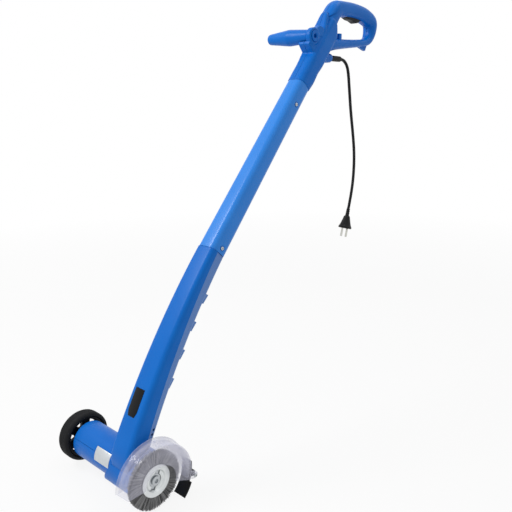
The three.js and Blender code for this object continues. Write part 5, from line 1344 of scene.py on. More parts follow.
HANDLE_SCREWS = [(*beside(*COLUMN_SCREW)[:2], HANDLE["width"])]
for index in SCREWED_STATIONS:
    x, y, _, w = LOOP_SHARES[index]
    HANDLE_SCREWS.append((*on_bar(x, y), 2 * w * GRIP_HALF_WIDTH))
carve(body, skin("tube_room", [
    section(at, *[value + GAP * k for value, k in zip(upper_size(at), (2, 1, 1, 1))])
    for at in steps_between(HANDLE["neck"] - 30, UPPER_TOP + GAP)]))
carve(body, column_skin("column_hollow", HANDLE["wall"], UPPER_TOP - 2))
carve(body, loop_skin("loop_hollow", HANDLE["wall"], 48, 20))
carve(body, rounded(block(
    "trigger_slot", TRIGGER["front"] - TRIGGER["margin"], GRIP_RISE - 30,
    TRIGGER["front"] + TRIGGER["length"] + TRIGGER["margin"], TRIGGER["pivot_rise"],
    -TRIGGER["width"] / 2 - GAP, TRIGGER["width"] / 2 + GAP), 1.0))
carve(body, rod("grip_room", SEAT["radius"] - GAP, -2 * SEAT["corbel"], SEAT["grip_face"],
                SEAT["rear"], SEAT["rise"], 64))
carve(body, rod("socket", SEAT["bolt"] + GAP, SEAT["face"] - SEAT["socket"], 60,
                SEAT["rear"], SEAT["rise"]))
carve(body, rod("bolt_room", SEAT["bolt"] + GAP, -60, SEAT["face"] - SEAT["socket"] - 1,
                SEAT["rear"], SEAT["rise"]))
carve(body, turned("gland_bore", [
    (0, 0), (GLAND_BORE["radius"], 0), (GLAND_BORE["radius"], GLAND_BORE["length"]),
    (0, GLAND_BORE["length"])], 32,
    (GLAND["start"] - GLAND_BORE["inside"], GLAND["rise"], 0), (1, 0, 0)))
for x, y, width in HANDLE_SCREWS:
    carve(body, rod("screw_seat", SCREW["head"] + GAP, -60,
                    -width / 2 + SCREW["height"] + SCREW_RECESS, x, y, 24))
    places.append(((x, y, -width / 2 + SCREW_RECESS - GAP), (0, 0, 1), (1, 0, 0)))
right_half = copy_of(body, "handle_right_moulding")
body.name = "handle_left_moulding"
shared(body, block("left_side", 0, 0, 1200, 1200, PARTING_GAP / 2, 300))
shared(right_half, block("right_side", 0, 0, 1200, 1200, -300, -PARTING_GAP / 2))
dress(body, blue_abs, "frame", ["handle_left_shell"], 40)
dress(right_half, blue_abs, "frame", ["handle_right_shell"], 40)

# %% [markdown]
# ## The side grip
# The side grip is two moulded cones in one piece, and it screws on the seat's bolt. It starts
# narrower than the seat, is fullest half way along and narrows to a blunt tip.

# %% Side grip
GRIP = {"length": 101.5, "neck": 12.0, "root": 15.5, "belly": 49.0, "tip": 10.0, "round": 2.6,
        "bore": 4.3, "bore_end": 56.0}
NEAR_LINE = 0.01
start = SEAT["grip_face"] - GAP
tip_end, bore_end = start - GRIP["length"], start - GRIP["bore_end"]
profile = [(GRIP["bore"], start), (GRIP["neck"], start), (GRIP["root"], start - GRIP["belly"]),
           (GRIP["tip"], tip_end + GRIP["round"]), (GRIP["tip"] - GRIP["round"], tip_end),
           (NEAR_LINE, tip_end), (NEAR_LINE, bore_end), (GRIP["bore"], bore_end),
           (GRIP["bore"], start)]
side_grip = turned("side_grip_cones", soften(profile, 3.2, 8), 72, (SEAT["rear"], SEAT["rise"], 0))
dress(side_grip, blue_abs, "frame", ["aux_grip"], 50)

# %% [markdown]
# ## Trigger
# The black trigger hangs from a pin at the front of its slot, and its lower face swells to a
# finger rest. Its outline is the same as the frame's and its edges are rounded.

# %% Trigger
TRIGGER_SHARES = [(0, 0.1), (0.22, -0.35), (0.45, -0.5), (0.68, -1), (0.86, -0.72), (0.97, -0.2),
                  (1, 0.1)]
PIN_BORE = 1.9
under = GRIP_RISE - GRIP_HALF_HEIGHT
outline = [(TRIGGER["front"] + x * TRIGGER["length"], under + y * TRIGGER["proud"])
           for x, y in TRIGGER_SHARES]
outline += [(TRIGGER["front"] + TRIGGER["length"], TRIGGER["top"] - TRIGGER["proud"] / 3),
            (TRIGGER["front"] + TRIGGER["length"] * 0.9, TRIGGER["top"]),
            (TRIGGER["front"], TRIGGER["top"])]
lever = slab("trigger_lever", soften(outline + outline[:1], 3, 5)[:-1],
             -TRIGGER["width"] / 2, TRIGGER["width"] / 2)
rounded(lever, 1.2, 4, 50)
carve(lever, rod("pin_bore", PIN_BORE, -20, 20, TRIGGER["front"] + TRIGGER["pivot_rear"],
                 TRIGGER["pivot_rise"], 24))
dress(lever, black_abs, "trigger", ["trigger"])

# %% [markdown]
# ## The upper tube
# The upper tube is one drawn steel tube, a rounded rectangle that tapers a little. It butts on the
# lower tube, with a hairline joint, and a pressed pocket at each end takes the joint's screw.

# %% Upper tube
def upper_ring(at, shrink=0.0):
    return section(at, *upper_size(at, shrink))


upper = skin("upper_tube_coated", [
    upper_ring(at) for at in steps_between(LOWER_LENGTH + PARTING_GAP, UPPER_TOP)])
rounded(upper, 0.6, 3, 60)
carve(upper, skin("upper_hollow", [
    upper_ring(at, UPPER["wall"]) for at in steps_between(LOWER_LENGTH - 1, UPPER_TOP + 1)]))
for at in joint_places:
    rear, rise, _ = along(at)
    face = upper_size(at)[0] / 2
    carve(upper, turned("pocket", soften([
        (0, face - JOINT["pocket_depth"]), (JOINT["pocket"], face - JOINT["pocket_depth"]),
        (JOINT["pocket"] + 1.2, face + 1), (0, face + 1)], 0.5), 32, (rear, rise, 0)))
dress(upper, blue_coat, "frame", ["upper_tube"])

# %% [markdown]
# ## The clear guard
# The guard is a shallow drum over the brush's upper half: a flange at its back, a rim with a small
# step, and a front plate with a round opening. It is one turned shape cut by the same wedge as the
# frame's, with its edges rounded in the profile, and a small ear takes the screw. The front plate's
# inner band, nearest the disc, is half a millimetre thinner, and its edge catches the light.

# %% Guard
GUARD = {"back": 33.3, "thick": 2.4, "back_radius": 68.0, "hole": 17.5, "rim": 66.2, "wall": 2.4,
         "front": 63.3, "plate_hole": 31.0, "shoulder": 5.0, "rise": 3.0, "rear": math.radians(-21),
         "lug": math.radians(-14), "lug_reach": 78.5, "lug_width": 12.0, "lug_thick": 5.2}
BAND_RADIUS, BAND_STEP, RIM_STEP, STEP_SHARE = 50.0, 0.5, 0.9, 0.42
lug_radius = (GUARD["rim"] + GUARD["lug_reach"]) / 2 + 1.5 * GAP
lug_place = (lug_radius * math.cos(GUARD["lug"]), lug_radius * math.sin(GUARD["lug"]))

rim, front_face, back_inner = GUARD["rim"], GUARD["front"], GUARD["back"] + GUARD["thick"]
step_at = blend(back_inner, front_face, STEP_SHARE)
inner = rim - GUARD["wall"]
drum = turned("clear_guard", soften([
    (GUARD["hole"], GUARD["back"]), (GUARD["back_radius"], GUARD["back"]),
    (GUARD["back_radius"], back_inner), (rim, back_inner), (rim, step_at),
    (rim - RIM_STEP, step_at + RIM_STEP), (rim - RIM_STEP, front_face - GUARD["shoulder"] / 2),
    (rim - GUARD["shoulder"] / 2, front_face), (BAND_RADIUS + 1, front_face),
    (BAND_RADIUS, front_face - BAND_STEP), (GUARD["plate_hole"], front_face - BAND_STEP),
    (GUARD["plate_hole"], front_face - GUARD["thick"]),
    (inner - GUARD["shoulder"] / 2 - RIM_STEP, front_face - GUARD["thick"]),
    (inner - RIM_STEP, front_face - GUARD["thick"] - GUARD["shoulder"] / 2),
    (inner - RIM_STEP, step_at), (inner, step_at - RIM_STEP), (inner, back_inner),
    (GUARD["hole"], back_inner), (GUARD["hole"], GUARD["back"])], 0.8, 3), 160)
far = 2 * GUARD["back_radius"]
shared(drum, slab("kept", [
    (0, GUARD["rise"]), (far * math.cos(GUARD["rear"]), far * math.sin(GUARD["rear"])), (far, far),
    (-far, far), (-far, GUARD["rise"])], GUARD["back"] - 1, front_face + 1))
ear_root, ear_half = rim - 1.2, GUARD["lug_width"] / 2
ear = slab("ear", [(ear_root, -ear_half), *arc(ear_half, -TURN / 4, TURN / 4, 16, lug_radius),
                   (ear_root, ear_half)], front_face - GUARD["lug_thick"], front_face)
turned_piece(ear, GUARD["lug"])
unite(drum, rounded(ear, 0.6))
carve(drum, rod("ear_bore", SCREW["shank"] + GAP, 30, 80, *lug_place, 24))
dress(drum, clear_sheet, "frame", ["brush_guard"])

# %% [markdown]
# ### The rubber flap
# A strip of sheet rubber hangs from the guard's lower rear end and keeps grit off the operator's
# feet. It is bent to the guard's own radius, and a boss near its top takes the guard's screw.

# %% Rubber flap
FLAP = {"thick": 2.8, "top": math.radians(6), "free": math.radians(-24), "end": math.radians(-47),
        "start": 36.5, "tucked": 57.4, "out": 62.5, "boss": 9.0, "boss_start": 47.0,
        "boss_reach": 77.5}


def ring_part(name, inner, outer, start, end, low, high, steps=48):
    return slab(name, arc(outer, start, end, steps) + arc(inner, end, start, steps), low, high)


flap_inner = GUARD["rim"] + 1.5 * GAP
flap_outer = flap_inner + FLAP["thick"]
flap = ring_part("rubber_flap", flap_inner, flap_outer, FLAP["end"], FLAP["top"],
                 FLAP["start"], FLAP["tucked"])
unite(flap, ring_part("free_part", flap_inner, flap_outer, FLAP["end"], FLAP["free"],
                      FLAP["tucked"] - 1, FLAP["out"]))
boss = block("boss", flap_outer - 1, -FLAP["boss"] / 2, FLAP["boss_reach"], FLAP["boss"] / 2,
             FLAP["boss_start"], FLAP["tucked"])
unite(flap, turned_piece(boss, GUARD["lug"]))
rounded(flap, 0.5, 3, 40)
carve(flap, rod("flap_bore", SCREW["shank"] + GAP, FLAP["boss_start"] + 1, 80, *lug_place, 24))
dress(flap, black_rubber, "frame", ["guard_flap"])
places.append(((*lug_place, front_face + GAP + SCREW["height"]), (0, 0, -1), (1, 0, 0)))

# %% [markdown]
# ### Setting the screws
# Every seat is known now, so the tree sets the one screw on all of them. The screws are one mesh,
# which stands for the frame's ten.

# %% All the pan-head screws at once
screws = pattern("pan_head_screws", pan_screw(), places, zinc_screw)
dress(screws, zinc_screw, "frame",
      [f"rear_screw_{n}" for n in range(1, 5)] + ["tube_screw_1", "tube_screw_2"]
      + [f"handle_screw_{n}" for n in range(1, 4)] + ["guard_screw"])

# %% [markdown]
# ## The brush
# The brush is a pressed disc on a keyed hub, held by a socket screw, round a ring of grit nylon.
# The strands are the piece that shows most, so a node tree sets some thousands of them in tufts on
# the ring, leans each a little and gives each its own tone. A strand has only a few faces, because
# it is thinner than a pixel.

# %% Disc
BRUSH = {"face": 50.0, "disc": 27.5, "flange": 2.2, "core": 22.0, "back": 39.6,
         "recess_radius": 19.0, "recess": 3.5, "slope": 2.2, "key": 0.4, "backing": 27.2,
         "front": 47.5, "tip": 50.0}
HUB = {"radius": 11.2, "end": 46.0, "ear_reach": 16.2, "ear_width": 9.0, "screw": 3.0, "head": 8.0,
       "height": 3.4, "socket": 4.0, "depth": 2.6, "length": 16.0}
EAR_ANGLE = math.radians(68)
back, face = BRUSH["back"], BRUSH["face"]
web, flange_back = face - BRUSH["recess"], face - BRUSH["flange"]


def hub_ears(name, reach, width, start, end):
    """The two ears that turn the disc with its hub, or with play the keyway that they sit in."""
    return [turned_piece(block(name, 0, -width / 2, reach, width / 2, start, end), EAR_ANGLE + turn_by)
            for turn_by in (0, TURN / 2)]


disc = turned("brush_disc_pressing", soften([
    (0, back), (BRUSH["core"], back), (BRUSH["core"], flange_back), (BRUSH["disc"], flange_back),
    (BRUSH["disc"], face), (BRUSH["recess_radius"], face),
    (BRUSH["recess_radius"] - BRUSH["slope"], web), (0, web)], 1.1, 5), 128)
carve(disc, rod("bore", HUB["radius"] + BRUSH["key"], back - 1, face + 1, sides=64),
      *hub_ears("key", HUB["ear_reach"] + BRUSH["key"], HUB["ear_width"] + 2 * BRUSH["key"],
                back - 1, face + 1))
dress(disc, zinc_disc, "brush", ["brush_disc"])

# %% [markdown]
# ### The spindle with its carrier
# The planet carrier and the spindle are one turned piece, with three pins for the planets at its
# inner end. A collar outside the bearing backs the disc, and the hub's two ears turn it.

# %% Carrier, spindle and socket screw
CARRIER = {"start": -21.7, "radius": 25.5, "thick": 4.5, "spindle": 6.0, "nose": (28.3, 8.7),
           "collar": (37.2, 15.0)}
PLANET_PIN = {"radius": 3.0, "end": -34.0, "circle": 16.8}
carrier_start, carrier_face = CARRIER["start"], CARRIER["start"] + CARRIER["thick"]
nose_start, nose_radius = CARRIER["nose"]
collar_start, collar_radius = CARRIER["collar"]
carrier = turned("spindle_and_carrier", soften([
    (0, carrier_start), (CARRIER["radius"], carrier_start), (CARRIER["radius"], carrier_face),
    (CARRIER["spindle"], carrier_face), (CARRIER["spindle"], nose_start), (nose_radius, nose_start),
    (nose_radius, collar_start), (collar_radius, collar_start), (collar_radius, back - GAP),
    (HUB["radius"], back - GAP), (HUB["radius"], HUB["end"]), (0, HUB["end"])], 0.8), 64)
for index in range(3):
    angle = index * TURN / 3
    unite(carrier, rod("planet_pin", PLANET_PIN["radius"], PLANET_PIN["end"], carrier_start + 1,
                       PLANET_PIN["circle"] * math.cos(angle),
                       PLANET_PIN["circle"] * math.sin(angle), 32))
unite(carrier, *[rounded(ear, 0.8) for ear in hub_ears(
    "ear", HUB["ear_reach"], HUB["ear_width"], back - 1, HUB["end"] - 1)])
carve(carrier, rod("screw_bore", HUB["screw"] + GAP, HUB["end"] - HUB["length"], 60, sides=24))
dress(carrier, zinc_screw, "brush", ["planet_carrier"])

head_start = HUB["end"] + GAP
head_end = head_start + HUB["height"]
point = HUB["end"] - HUB["length"] + 1
socket_screw = turned("brush_socket_screw", soften([
    (0, point), (HUB["screw"], point), (HUB["screw"], head_start), (HUB["head"], head_start),
    (HUB["head"], head_end), (0, head_end)], 0.9), 64)
carve(socket_screw, rod("hex", HUB["socket"], head_end - HUB["depth"], head_end + 1, sides=6))
dress(socket_screw, zinc_screw, "brush", ["brush_screw"])

# %% [markdown]
# ### The strands' tree
# Each strand is a thin square rod on a point of the ring. A random draw picks its tuft, others its
# place in the tuft, how it strays, how long it is and its tone, each with a fixed seed. The strands
# of a tuft start close together and spread towards their tips.

# %% The strands' tree
STRANDS, TUFTS, STRAND_RADIUS = 3400, 76, 0.34
TUFT_WIDTH, STRAY, SHORTEST = 0.62, 0.05, 0.93

strands_tree, given = new_tree(
    "strands", ("Count", "NodeSocketInt", STRANDS), ("Tufts", "NodeSocketInt", TUFTS),
    ("Root Radius", "NodeSocketFloat", 0.0), ("Reach", "NodeSocketFloat", 0.0),
    ("Root Spread", "NodeSocketFloat", 0.0), ("Tip Spread", "NodeSocketFloat", 0.0),
    ("Thickness", "NodeSocketFloat", 0.0), ("Centre", "NodeSocketVector", None),
    ("Finish", "NodeSocketMaterial", None))
tree = strands_tree
last_tuft = add_node(tree, "ShaderNodeMath", {0: given["Tufts"], 1: 1}, operation="SUBTRACT")
tuft = add_node(tree, "FunctionNodeRandomValue", {4: 0, 5: last_tuft, "Seed": 11}, data_type="INT")
in_tuft, across, tone, length_share = [
    add_node(tree, "FunctionNodeRandomValue", {2: low, 3: 1.0, "Seed": seed}, data_type="FLOAT")
    for seed, low in ((12, -1.0), (13, -1.0), (16, 0.0), (17, SHORTEST))]
tuft_share = add_node(tree, "ShaderNodeMath", {0: tuft, 1: given["Tufts"]}, operation="DIVIDE")
tuft_angle = add_node(tree, "ShaderNodeMath", {0: tuft_share, 1: TURN}, operation="MULTIPLY")
tuft_jitter = add_node(tree, "ShaderNodeMath", {0: in_tuft, 1: TUFT_WIDTH * TURN / TUFTS},
                       operation="MULTIPLY")
angle = add_node(tree, "ShaderNodeMath", {0: tuft_angle, 1: tuft_jitter}, operation="ADD")
cosine, sine = [add_node(tree, "ShaderNodeMath", {0: angle}, operation=name)
                for name in ("COSINE", "SINE")]
outward = add_node(tree, "ShaderNodeCombineXYZ", {"X": across, "Y": cosine, "Z": sine})

root_size = add_node(tree, "ShaderNodeCombineXYZ", {
    "X": given["Root Spread"], "Y": given["Root Radius"], "Z": given["Root Radius"]})
root = add_node(tree, "ShaderNodeVectorMath", {0: outward, 1: root_size}, operation="MULTIPLY")
root_place = add_node(tree, "ShaderNodeVectorMath", {0: root, 1: given["Centre"]}, operation="ADD")
points = add_node(tree, "GeometryNodePoints", {"Count": given["Count"], "Position": root_place})
toned = add_node(tree, "GeometryNodeStoreNamedAttribute", {
    "Geometry": points, "Name": "tone", "Value": tone}, data_type="FLOAT", domain="POINT")

spread = add_node(tree, "ShaderNodeMath", {0: given["Tip Spread"], 1: given["Root Spread"]},
                  operation="SUBTRACT")
lean_size = add_node(tree, "ShaderNodeCombineXYZ", {
    "X": spread, "Y": given["Reach"], "Z": given["Reach"]})
lean = add_node(tree, "ShaderNodeVectorMath", {0: outward, 1: lean_size}, operation="MULTIPLY")
stray_way = add_node(tree, "FunctionNodeRandomValue", {
    0: (-STRAY, -STRAY, -STRAY), 1: (STRAY, STRAY, STRAY), "Seed": 15}, data_type="FLOAT_VECTOR")
stray_by = add_node(tree, "ShaderNodeVectorMath", {0: stray_way, "Scale": given["Reach"]},
                    operation="SCALE")
way = add_node(tree, "ShaderNodeVectorMath", {0: lean, 1: stray_by}, operation="ADD")
facing = add_node(tree, "FunctionNodeAlignRotationToVector", {"Vector": way}, axis="Z")
strand_length = add_node(tree, "ShaderNodeMath", {0: length_share, 1: given["Reach"]},
                         operation="MULTIPLY")
strand_size = add_node(tree, "ShaderNodeCombineXYZ", {"X": 1.0, "Y": 1.0, "Z": strand_length})

line = add_node(tree, "GeometryNodeCurvePrimitiveLine", {"End": (0, 0, 1)})
parts = add_node(tree, "GeometryNodeResampleCurve", {"Curve": line, "Count": 4})
outline = add_node(tree, "GeometryNodeCurvePrimitiveCircle", {
    "Resolution": 4, "Radius": given["Thickness"]})
strand = add_node(tree, "GeometryNodeCurveToMesh", {
    "Curve": parts, "Profile Curve": outline, "Fill Caps": True})
copies = add_node(tree, "GeometryNodeInstanceOnPoints", {
    "Points": toned, "Instance": strand, "Rotation": facing, "Scale": strand_size})
end_tree(tree, copies, given["Finish"])

# %% [markdown]
# ### The bristle ring
# The strands are set into a ring of moulded backing. Both go into one mesh, because they are one
# piece in the hand.

# %% The bristle ring
middle = (back + GAP + BRUSH["front"]) / 2
ROOT_DEPTH, ROOT_SPREAD, TIP_SPREAD = 4.0, 3.2, 5.2
root_radius = BRUSH["backing"] - ROOT_DEPTH
bristles = add_object("grit_bristles", bpy.data.meshes.new("grit_bristles"))
run_tree(bristles, strands_tree, **{
    "Count": STRANDS, "Tufts": TUFTS, "Root Radius": root_radius * MM,
    "Reach": (BRUSH["tip"] - root_radius) * MM, "Root Spread": ROOT_SPREAD * MM,
    "Tip Spread": TIP_SPREAD * MM,
    "Thickness": STRAND_RADIUS * MM, "Centre": tuple(row(0, 0, middle)), "Finish": grit_nylon})
ring_inner = BRUSH["core"] + GAP
backing = turned("bristle_backing", [
    (ring_inner, back + GAP), (BRUSH["backing"], back + GAP), (BRUSH["backing"], BRUSH["front"]),
    (ring_inner, BRUSH["front"]), (ring_inner, back + GAP)], 64)


def merge(piece, other):
    """Puts another piece's mesh into a piece's own."""
    shape = bmesh.new()
    shape.from_mesh(piece.data)
    shape.from_mesh(other.data)
    shape.to_mesh(piece.data)
    shape.free()
    bpy.data.objects.remove(other)


merge(bristles, backing)
dress(bristles, grit_nylon, "brush", ["bristle_ring"], 60)
print("bristle box", [round(v / MM, 1) for v in bristles.dimensions])

# %% [markdown]
# ## Boot, plug and cord
# The cord leaves the handle through a soft boot and ends in a two-pin plug with a flexible neck.
# The boot is one turned sleeve.

# %% Boot
BOOT = {"inside": 500.0, "end": 548.5, "root": 5.6, "tip": 5.4, "taper": 12.0,
        "flange_radius": 8.0, "flange": 3.0}
boot_end = BOOT["end"] - BOOT["inside"]
boot = turned("cord_boot", soften([
    (0, 0), (BOOT["flange_radius"], 0), (BOOT["flange_radius"], BOOT["flange"]),
    (BOOT["root"], BOOT["flange"]), (BOOT["root"], boot_end - BOOT["taper"]),
    (BOOT["tip"], boot_end), (0, boot_end)], 1.2), 40, (BOOT["inside"], GLAND["rise"], 0), (1, 0, 0))
dress(boot, black_pvc, "frame", ["strain_relief"])

# %% [markdown]
# ### The plug
# The plug swells from its ribbed neck to an oval face with a flange, so it is a skin over oval rings.
# A ring is given by where it is and by its long and short half. Two round pins stand in its face.

# %% Plug and pins
PLUG = {"lean": math.radians(15.2), "neck_length": 17.0, "neck": 4.6, "ribs": 4, "body": 28.0,
        "long": 18.5, "short": 12.5, "flange": 4.5, "pin": 2.4, "pin_length": 19.0, "spacing": 19.0,
        "socket": 5.0}
RIB_SHARES = [(0.0, 0.7), (0.22, 0.7), (0.3, 0.1), (0.38, 0.0), (0.85, 0.0), (0.93, 0.1)]
SWELL_RINGS = [(0.0, 5.2, 5.2), (0.03, 6.4, 6.4), (0.1, 7.0, 7.0), (0.3, 8.8, 7.9), (0.5, 10.8, 8.9),
               (0.7, 13.0, 9.9), (0.85, 14.9, 10.8), (0.93, 16.2, 11.4)]
plug_way = (-math.sin(PLUG["lean"]), -math.cos(PLUG["lean"]))
plug_start = (CORD_ROUTE[-1][0] + plug_way[0] * GAP, CORD_ROUTE[-1][1] + plug_way[1] * GAP)
plug_end = PLUG["neck_length"] + PLUG["body"]


def plug_ring(distance, long_half, short_half, sides=40):
    """An oval ring across the plug's line."""
    places = []
    for side in range(sides):
        angle = TURN * side / sides
        off = long_half * math.cos(angle)
        places.append((plug_start[0] + plug_way[0] * distance - plug_way[1] * off,
                       plug_start[1] + plug_way[1] * distance + plug_way[0] * off,
                       short_half * math.sin(angle)))
    return places


rings = []
pitch = PLUG["neck_length"] / PLUG["ribs"]
for rib in range(PLUG["ribs"]):
    radius = PLUG["neck"] * blend(0.86, 1.0, rib / PLUG["ribs"])
    for share, shrink in RIB_SHARES:
        rings.append(plug_ring((rib + share) * pitch, radius - shrink, radius - shrink))
swell = PLUG["body"] - PLUG["flange"]
for share, long_half, short_half in SWELL_RINGS:
    rings.append(plug_ring(PLUG["neck_length"] + share * swell, long_half, short_half))
for inwards, shrink in ((PLUG["flange"], 0.9), (PLUG["flange"] - 0.5, 0.2),
                        (PLUG["flange"] - 1.0, 0.0), (0.8, 0.0), (0.25, 0.25), (0.0, 0.9)):
    rings.append(plug_ring(plug_end - inwards, PLUG["long"] - shrink, PLUG["short"] - shrink))
plug_body = skin("plug_moulding", rings)
pins = []
for side in (1, -1):
    off = side * PLUG["spacing"] / 2
    foot = (plug_start[0] + plug_way[0] * plug_end - plug_way[1] * off,
            plug_start[1] + plug_way[1] * plug_end + plug_way[0] * off, 0)
    hole, root = PLUG["pin"] + GAP, GAP - PLUG["socket"]
    carve(plug_body, turned("pin_socket", [
        (0, -PLUG["socket"]), (hole, -PLUG["socket"]), (hole, 2), (0, 2)], 24, foot, (*plug_way, 0)))
    pins.append(turned(f"plug_contact_{len(pins) + 1}", soften([
        (0, root), (PLUG["pin"], root), (PLUG["pin"], PLUG["pin_length"]),
        (0, PLUG["pin_length"])], 1.2), 32, foot, (*plug_way, 0)))
dress(plug_body, black_pvc, "frame", ["plug_body"], 50)
for number, pin in enumerate(pins, 1):
    dress(pin, nickel_pin, "frame", [f"plug_pin_{number}"])

# %% [markdown]
# ### The cord's finish
# The cord gets its finish, and its thickness is shown.

# %% The cord's finish
dress(cord, black_pvc, "frame", ["cord"])
print("cord", round(2 * CORD_RADIUS, 1), "mm thick")

# %% [markdown]
# ## The support wheel
# A foamed polyurethane tyre is pressed on a black hub with six windows. The tyre follows one rule:
# a section goes round the axle. So its section is drawn once, with fine grooves round the tread,
# and a node tree sweeps it along a circle. The hub's windows are the same cutter on six places.

# %% Wheel
WHEEL = {"near": -149.0, "far": -176.0, "radius": 45.0, "shoulder": 7.0, "tyre_inner": 37.0,
         "rim": 33.4, "hub": 9.5, "bore": 4.4, "web": 6.0, "windows": 6, "phase": math.radians(-11),
         "spoke": 16.0, "window_inner": 18.5, "window_outer": 30.8, "boss_end": -144.4,
         "groove": 0.5, "groove_pitch": 3.2, "grooves": 4}
AXLE = {"radius": 4.0, "head": 7.0, "head_length": 2.7, "end": -135.8}
wheel_middle = (WHEEL["near"] + WHEEL["far"]) / 2
wheel_half = (WHEEL["near"] - WHEEL["far"]) / 2
rim_edge = WHEEL["shoulder"] / 3

tyre_tree, given = new_tree("section_round_circle", ("Radius", "NodeSocketFloat", 0.0),
                            ("Steps", "NodeSocketInt", 160), ("Centre", "NodeSocketVector", None),
                            ("Finish", "NodeSocketMaterial", None))
ring_line = add_node(tyre_tree, "GeometryNodeCurvePrimitiveCircle", {
    "Resolution": given["Steps"], "Radius": given["Radius"]})
section_line = add_node(tyre_tree, "GeometryNodeMeshToCurve", {"Mesh": given["Geometry"]})
swept = add_node(tyre_tree, "GeometryNodeCurveToMesh", {
    "Curve": ring_line, "Profile Curve": section_line})
on_axle = add_node(tyre_tree, "GeometryNodeTransform", {
    "Geometry": swept, "Translation": given["Centre"], "Rotation": (0, TURN / 4, 0)})
end_tree(tyre_tree, on_axle, given["Finish"])

# %% [markdown]
# ### The tyre
# The section is a quarter round at each shoulder with four fine grooves between them, and it is
# mirrored about the wheel's middle. The sweep's seam is closed, and its faces are turned outwards.

# %% The tyre's section
SHOULDER_STEPS = 12
half_section = []
for step in range(SHOULDER_STEPS + 1):
    angle = TURN / 4 * step / SHOULDER_STEPS
    half_section.append((WHEEL["radius"] - (WHEEL["shoulder"] - 1) * (1 - math.sin(angle)),
                         wheel_half - WHEEL["shoulder"] * (1 - math.cos(angle))))
tread = []
for index in range(WHEEL["grooves"]):
    off = (index - (WHEEL["grooves"] - 1) / 2) * WHEEL["groove_pitch"]
    tread += [(WHEEL["radius"], off - WHEEL["groove"]), (WHEEL["radius"] - WHEEL["groove"], off),
              (WHEEL["radius"], off + WHEEL["groove"])]
inner = WHEEL["tyre_inner"]
tyre_section = [(inner, rim_edge - wheel_half), (inner + 1, 0.8 - wheel_half)]
tyre_section += [(radius, -off) for radius, off in half_section] + tread + half_section[::-1]
tyre_section += [(inner + 1, wheel_half - 0.8), (inner, wheel_half - rim_edge)]
section_mesh = bpy.data.meshes.new("tyre")
count = len(tyre_section)
section_mesh.from_pydata(
    [((radius - WHEEL["radius"]) * MM, -off * MM, 0) for radius, off in tyre_section],
    [(index, (index + 1) % count) for index in range(count)], [])
tyre = add_object("tyre", section_mesh)
run_tree(tyre, tyre_tree, Radius=WHEEL["radius"] * MM, Steps=160,
         Centre=tuple(row(0, 0, wheel_middle)), Finish=tyre_foam)
turned_out = bmesh.new()
turned_out.from_mesh(tyre.data)
bmesh.ops.remove_doubles(turned_out, verts=turned_out.verts, dist=1e-6)
bmesh.ops.recalc_face_normals(turned_out, faces=turned_out.faces)
turned_out.to_mesh(tyre.data)
turned_out.free()
dress(tyre, tyre_foam, "wheel", ["wheel_tyre"], 40)
print("tyre box", [round(v / MM, 1) for v in tyre.dimensions])

# %% [markdown]
# ### The wheel's centre and its pin
# The centre is turned: a boss on the pin, a web and a rim that the tyre is pressed on. Its six
# windows are one cutter on six places. The pin's broad head keeps the wheel on.

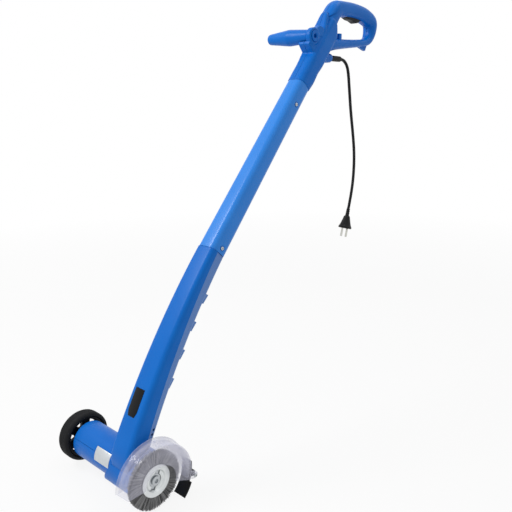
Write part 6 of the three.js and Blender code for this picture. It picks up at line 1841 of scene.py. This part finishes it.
# %% Wheel centre and axle
hub_far, hub_near = WHEEL["far"] + rim_edge, WHEEL["near"] - rim_edge
web_low, web_high = wheel_middle - WHEEL["web"] / 2, wheel_middle + WHEEL["web"] / 2
rim_outer = WHEEL["tyre_inner"] - GAP
centre = turned("wheel_centre", soften([
    (WHEEL["bore"], hub_far), (WHEEL["hub"], hub_far), (WHEEL["hub"], web_low), (WHEEL["rim"], web_low),
    (WHEEL["rim"], hub_far), (rim_outer, hub_far), (rim_outer, hub_near), (WHEEL["rim"], hub_near),
    (WHEEL["rim"], web_high), (WHEEL["hub"], web_high), (WHEEL["hub"], WHEEL["boss_end"]),
    (WHEEL["bore"], WHEEL["boss_end"]), (WHEEL["bore"], hub_far)], 0.8, 3), 128)
half_pitch = TURN / 2 / WHEEL["windows"]
outer_reach = half_pitch - math.asin(WHEEL["spoke"] / 2 / WHEEL["window_outer"])
inner_reach = half_pitch - math.asin(WHEEL["spoke"] / 2 / WHEEL["window_inner"])
window = arc(WHEEL["window_outer"], -outer_reach, outer_reach, 8)
window += arc(WHEEL["window_inner"], inner_reach, -inner_reach, 2)
cutter = local_solid(slab("window", soften(window + window[:1], 2.0)[:-1],
                          -WHEEL["web"], WHEEL["web"]))
window_places = []
for index in range(WHEEL["windows"]):
    angle = WHEEL["phase"] + index * TURN / WHEEL["windows"]
    window_places.append(((0, 0, wheel_middle), (0, 0, 1), (math.cos(angle), math.sin(angle), 0)))
carve(centre, pattern("wheel_windows", cutter, window_places))
dress(centre, black_abs, "wheel", ["wheel_hub"])
shoulder_end = hub_far - GAP
head_out = shoulder_end - AXLE["head_length"]
pin = turned("wheel_axle_pin", soften([
    (0, head_out), (AXLE["head"], head_out), (AXLE["head"], shoulder_end),
    (AXLE["radius"], shoulder_end), (AXLE["radius"], AXLE["end"]), (0, AXLE["end"])], 0.8), 48)
dress(pin, zinc_screw, "frame", ["wheel_axle"])

# %% [markdown]
# ## The pieces inside
# What the shells hide keeps the frame's own shapes. Each piece still gets the finish of its real
# material, on its object's slots, so that it looks right when the machine is taken apart.

# %% Inner pieces
INNER = [
    (laminated_steel, ["stator_core", "rotor_core"]),
    (copper_wire, ["field_coil_1", "field_coil_2", "commutator"]),
    (brass_box, ["carbon_brush_1", "carbon_brush_2"]),
    (bright_steel, ["motor_bearing_rear", "motor_bearing_front", "spindle_bearing", "rotor_shaft",
                    "planet_gear_1", "planet_gear_2", "planet_gear_3"]),
    (zinc_screw, ["aux_bolt", "trigger_pin", "gear_case"]),
    (white_nylon, ["cooling_fan", "switch_plunger"]),
    (black_abs, ["switch_body", "tube_connector_lower", "tube_connector_upper"]),
    (black_pvc, ["inner_loom"])]
for finish, names in INNER:
    for name in names:
        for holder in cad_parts[name].material_slots:
            holder.link = "OBJECT"
            holder.material = finish
print("inner pieces", sum(len(names) for _, names in INNER))
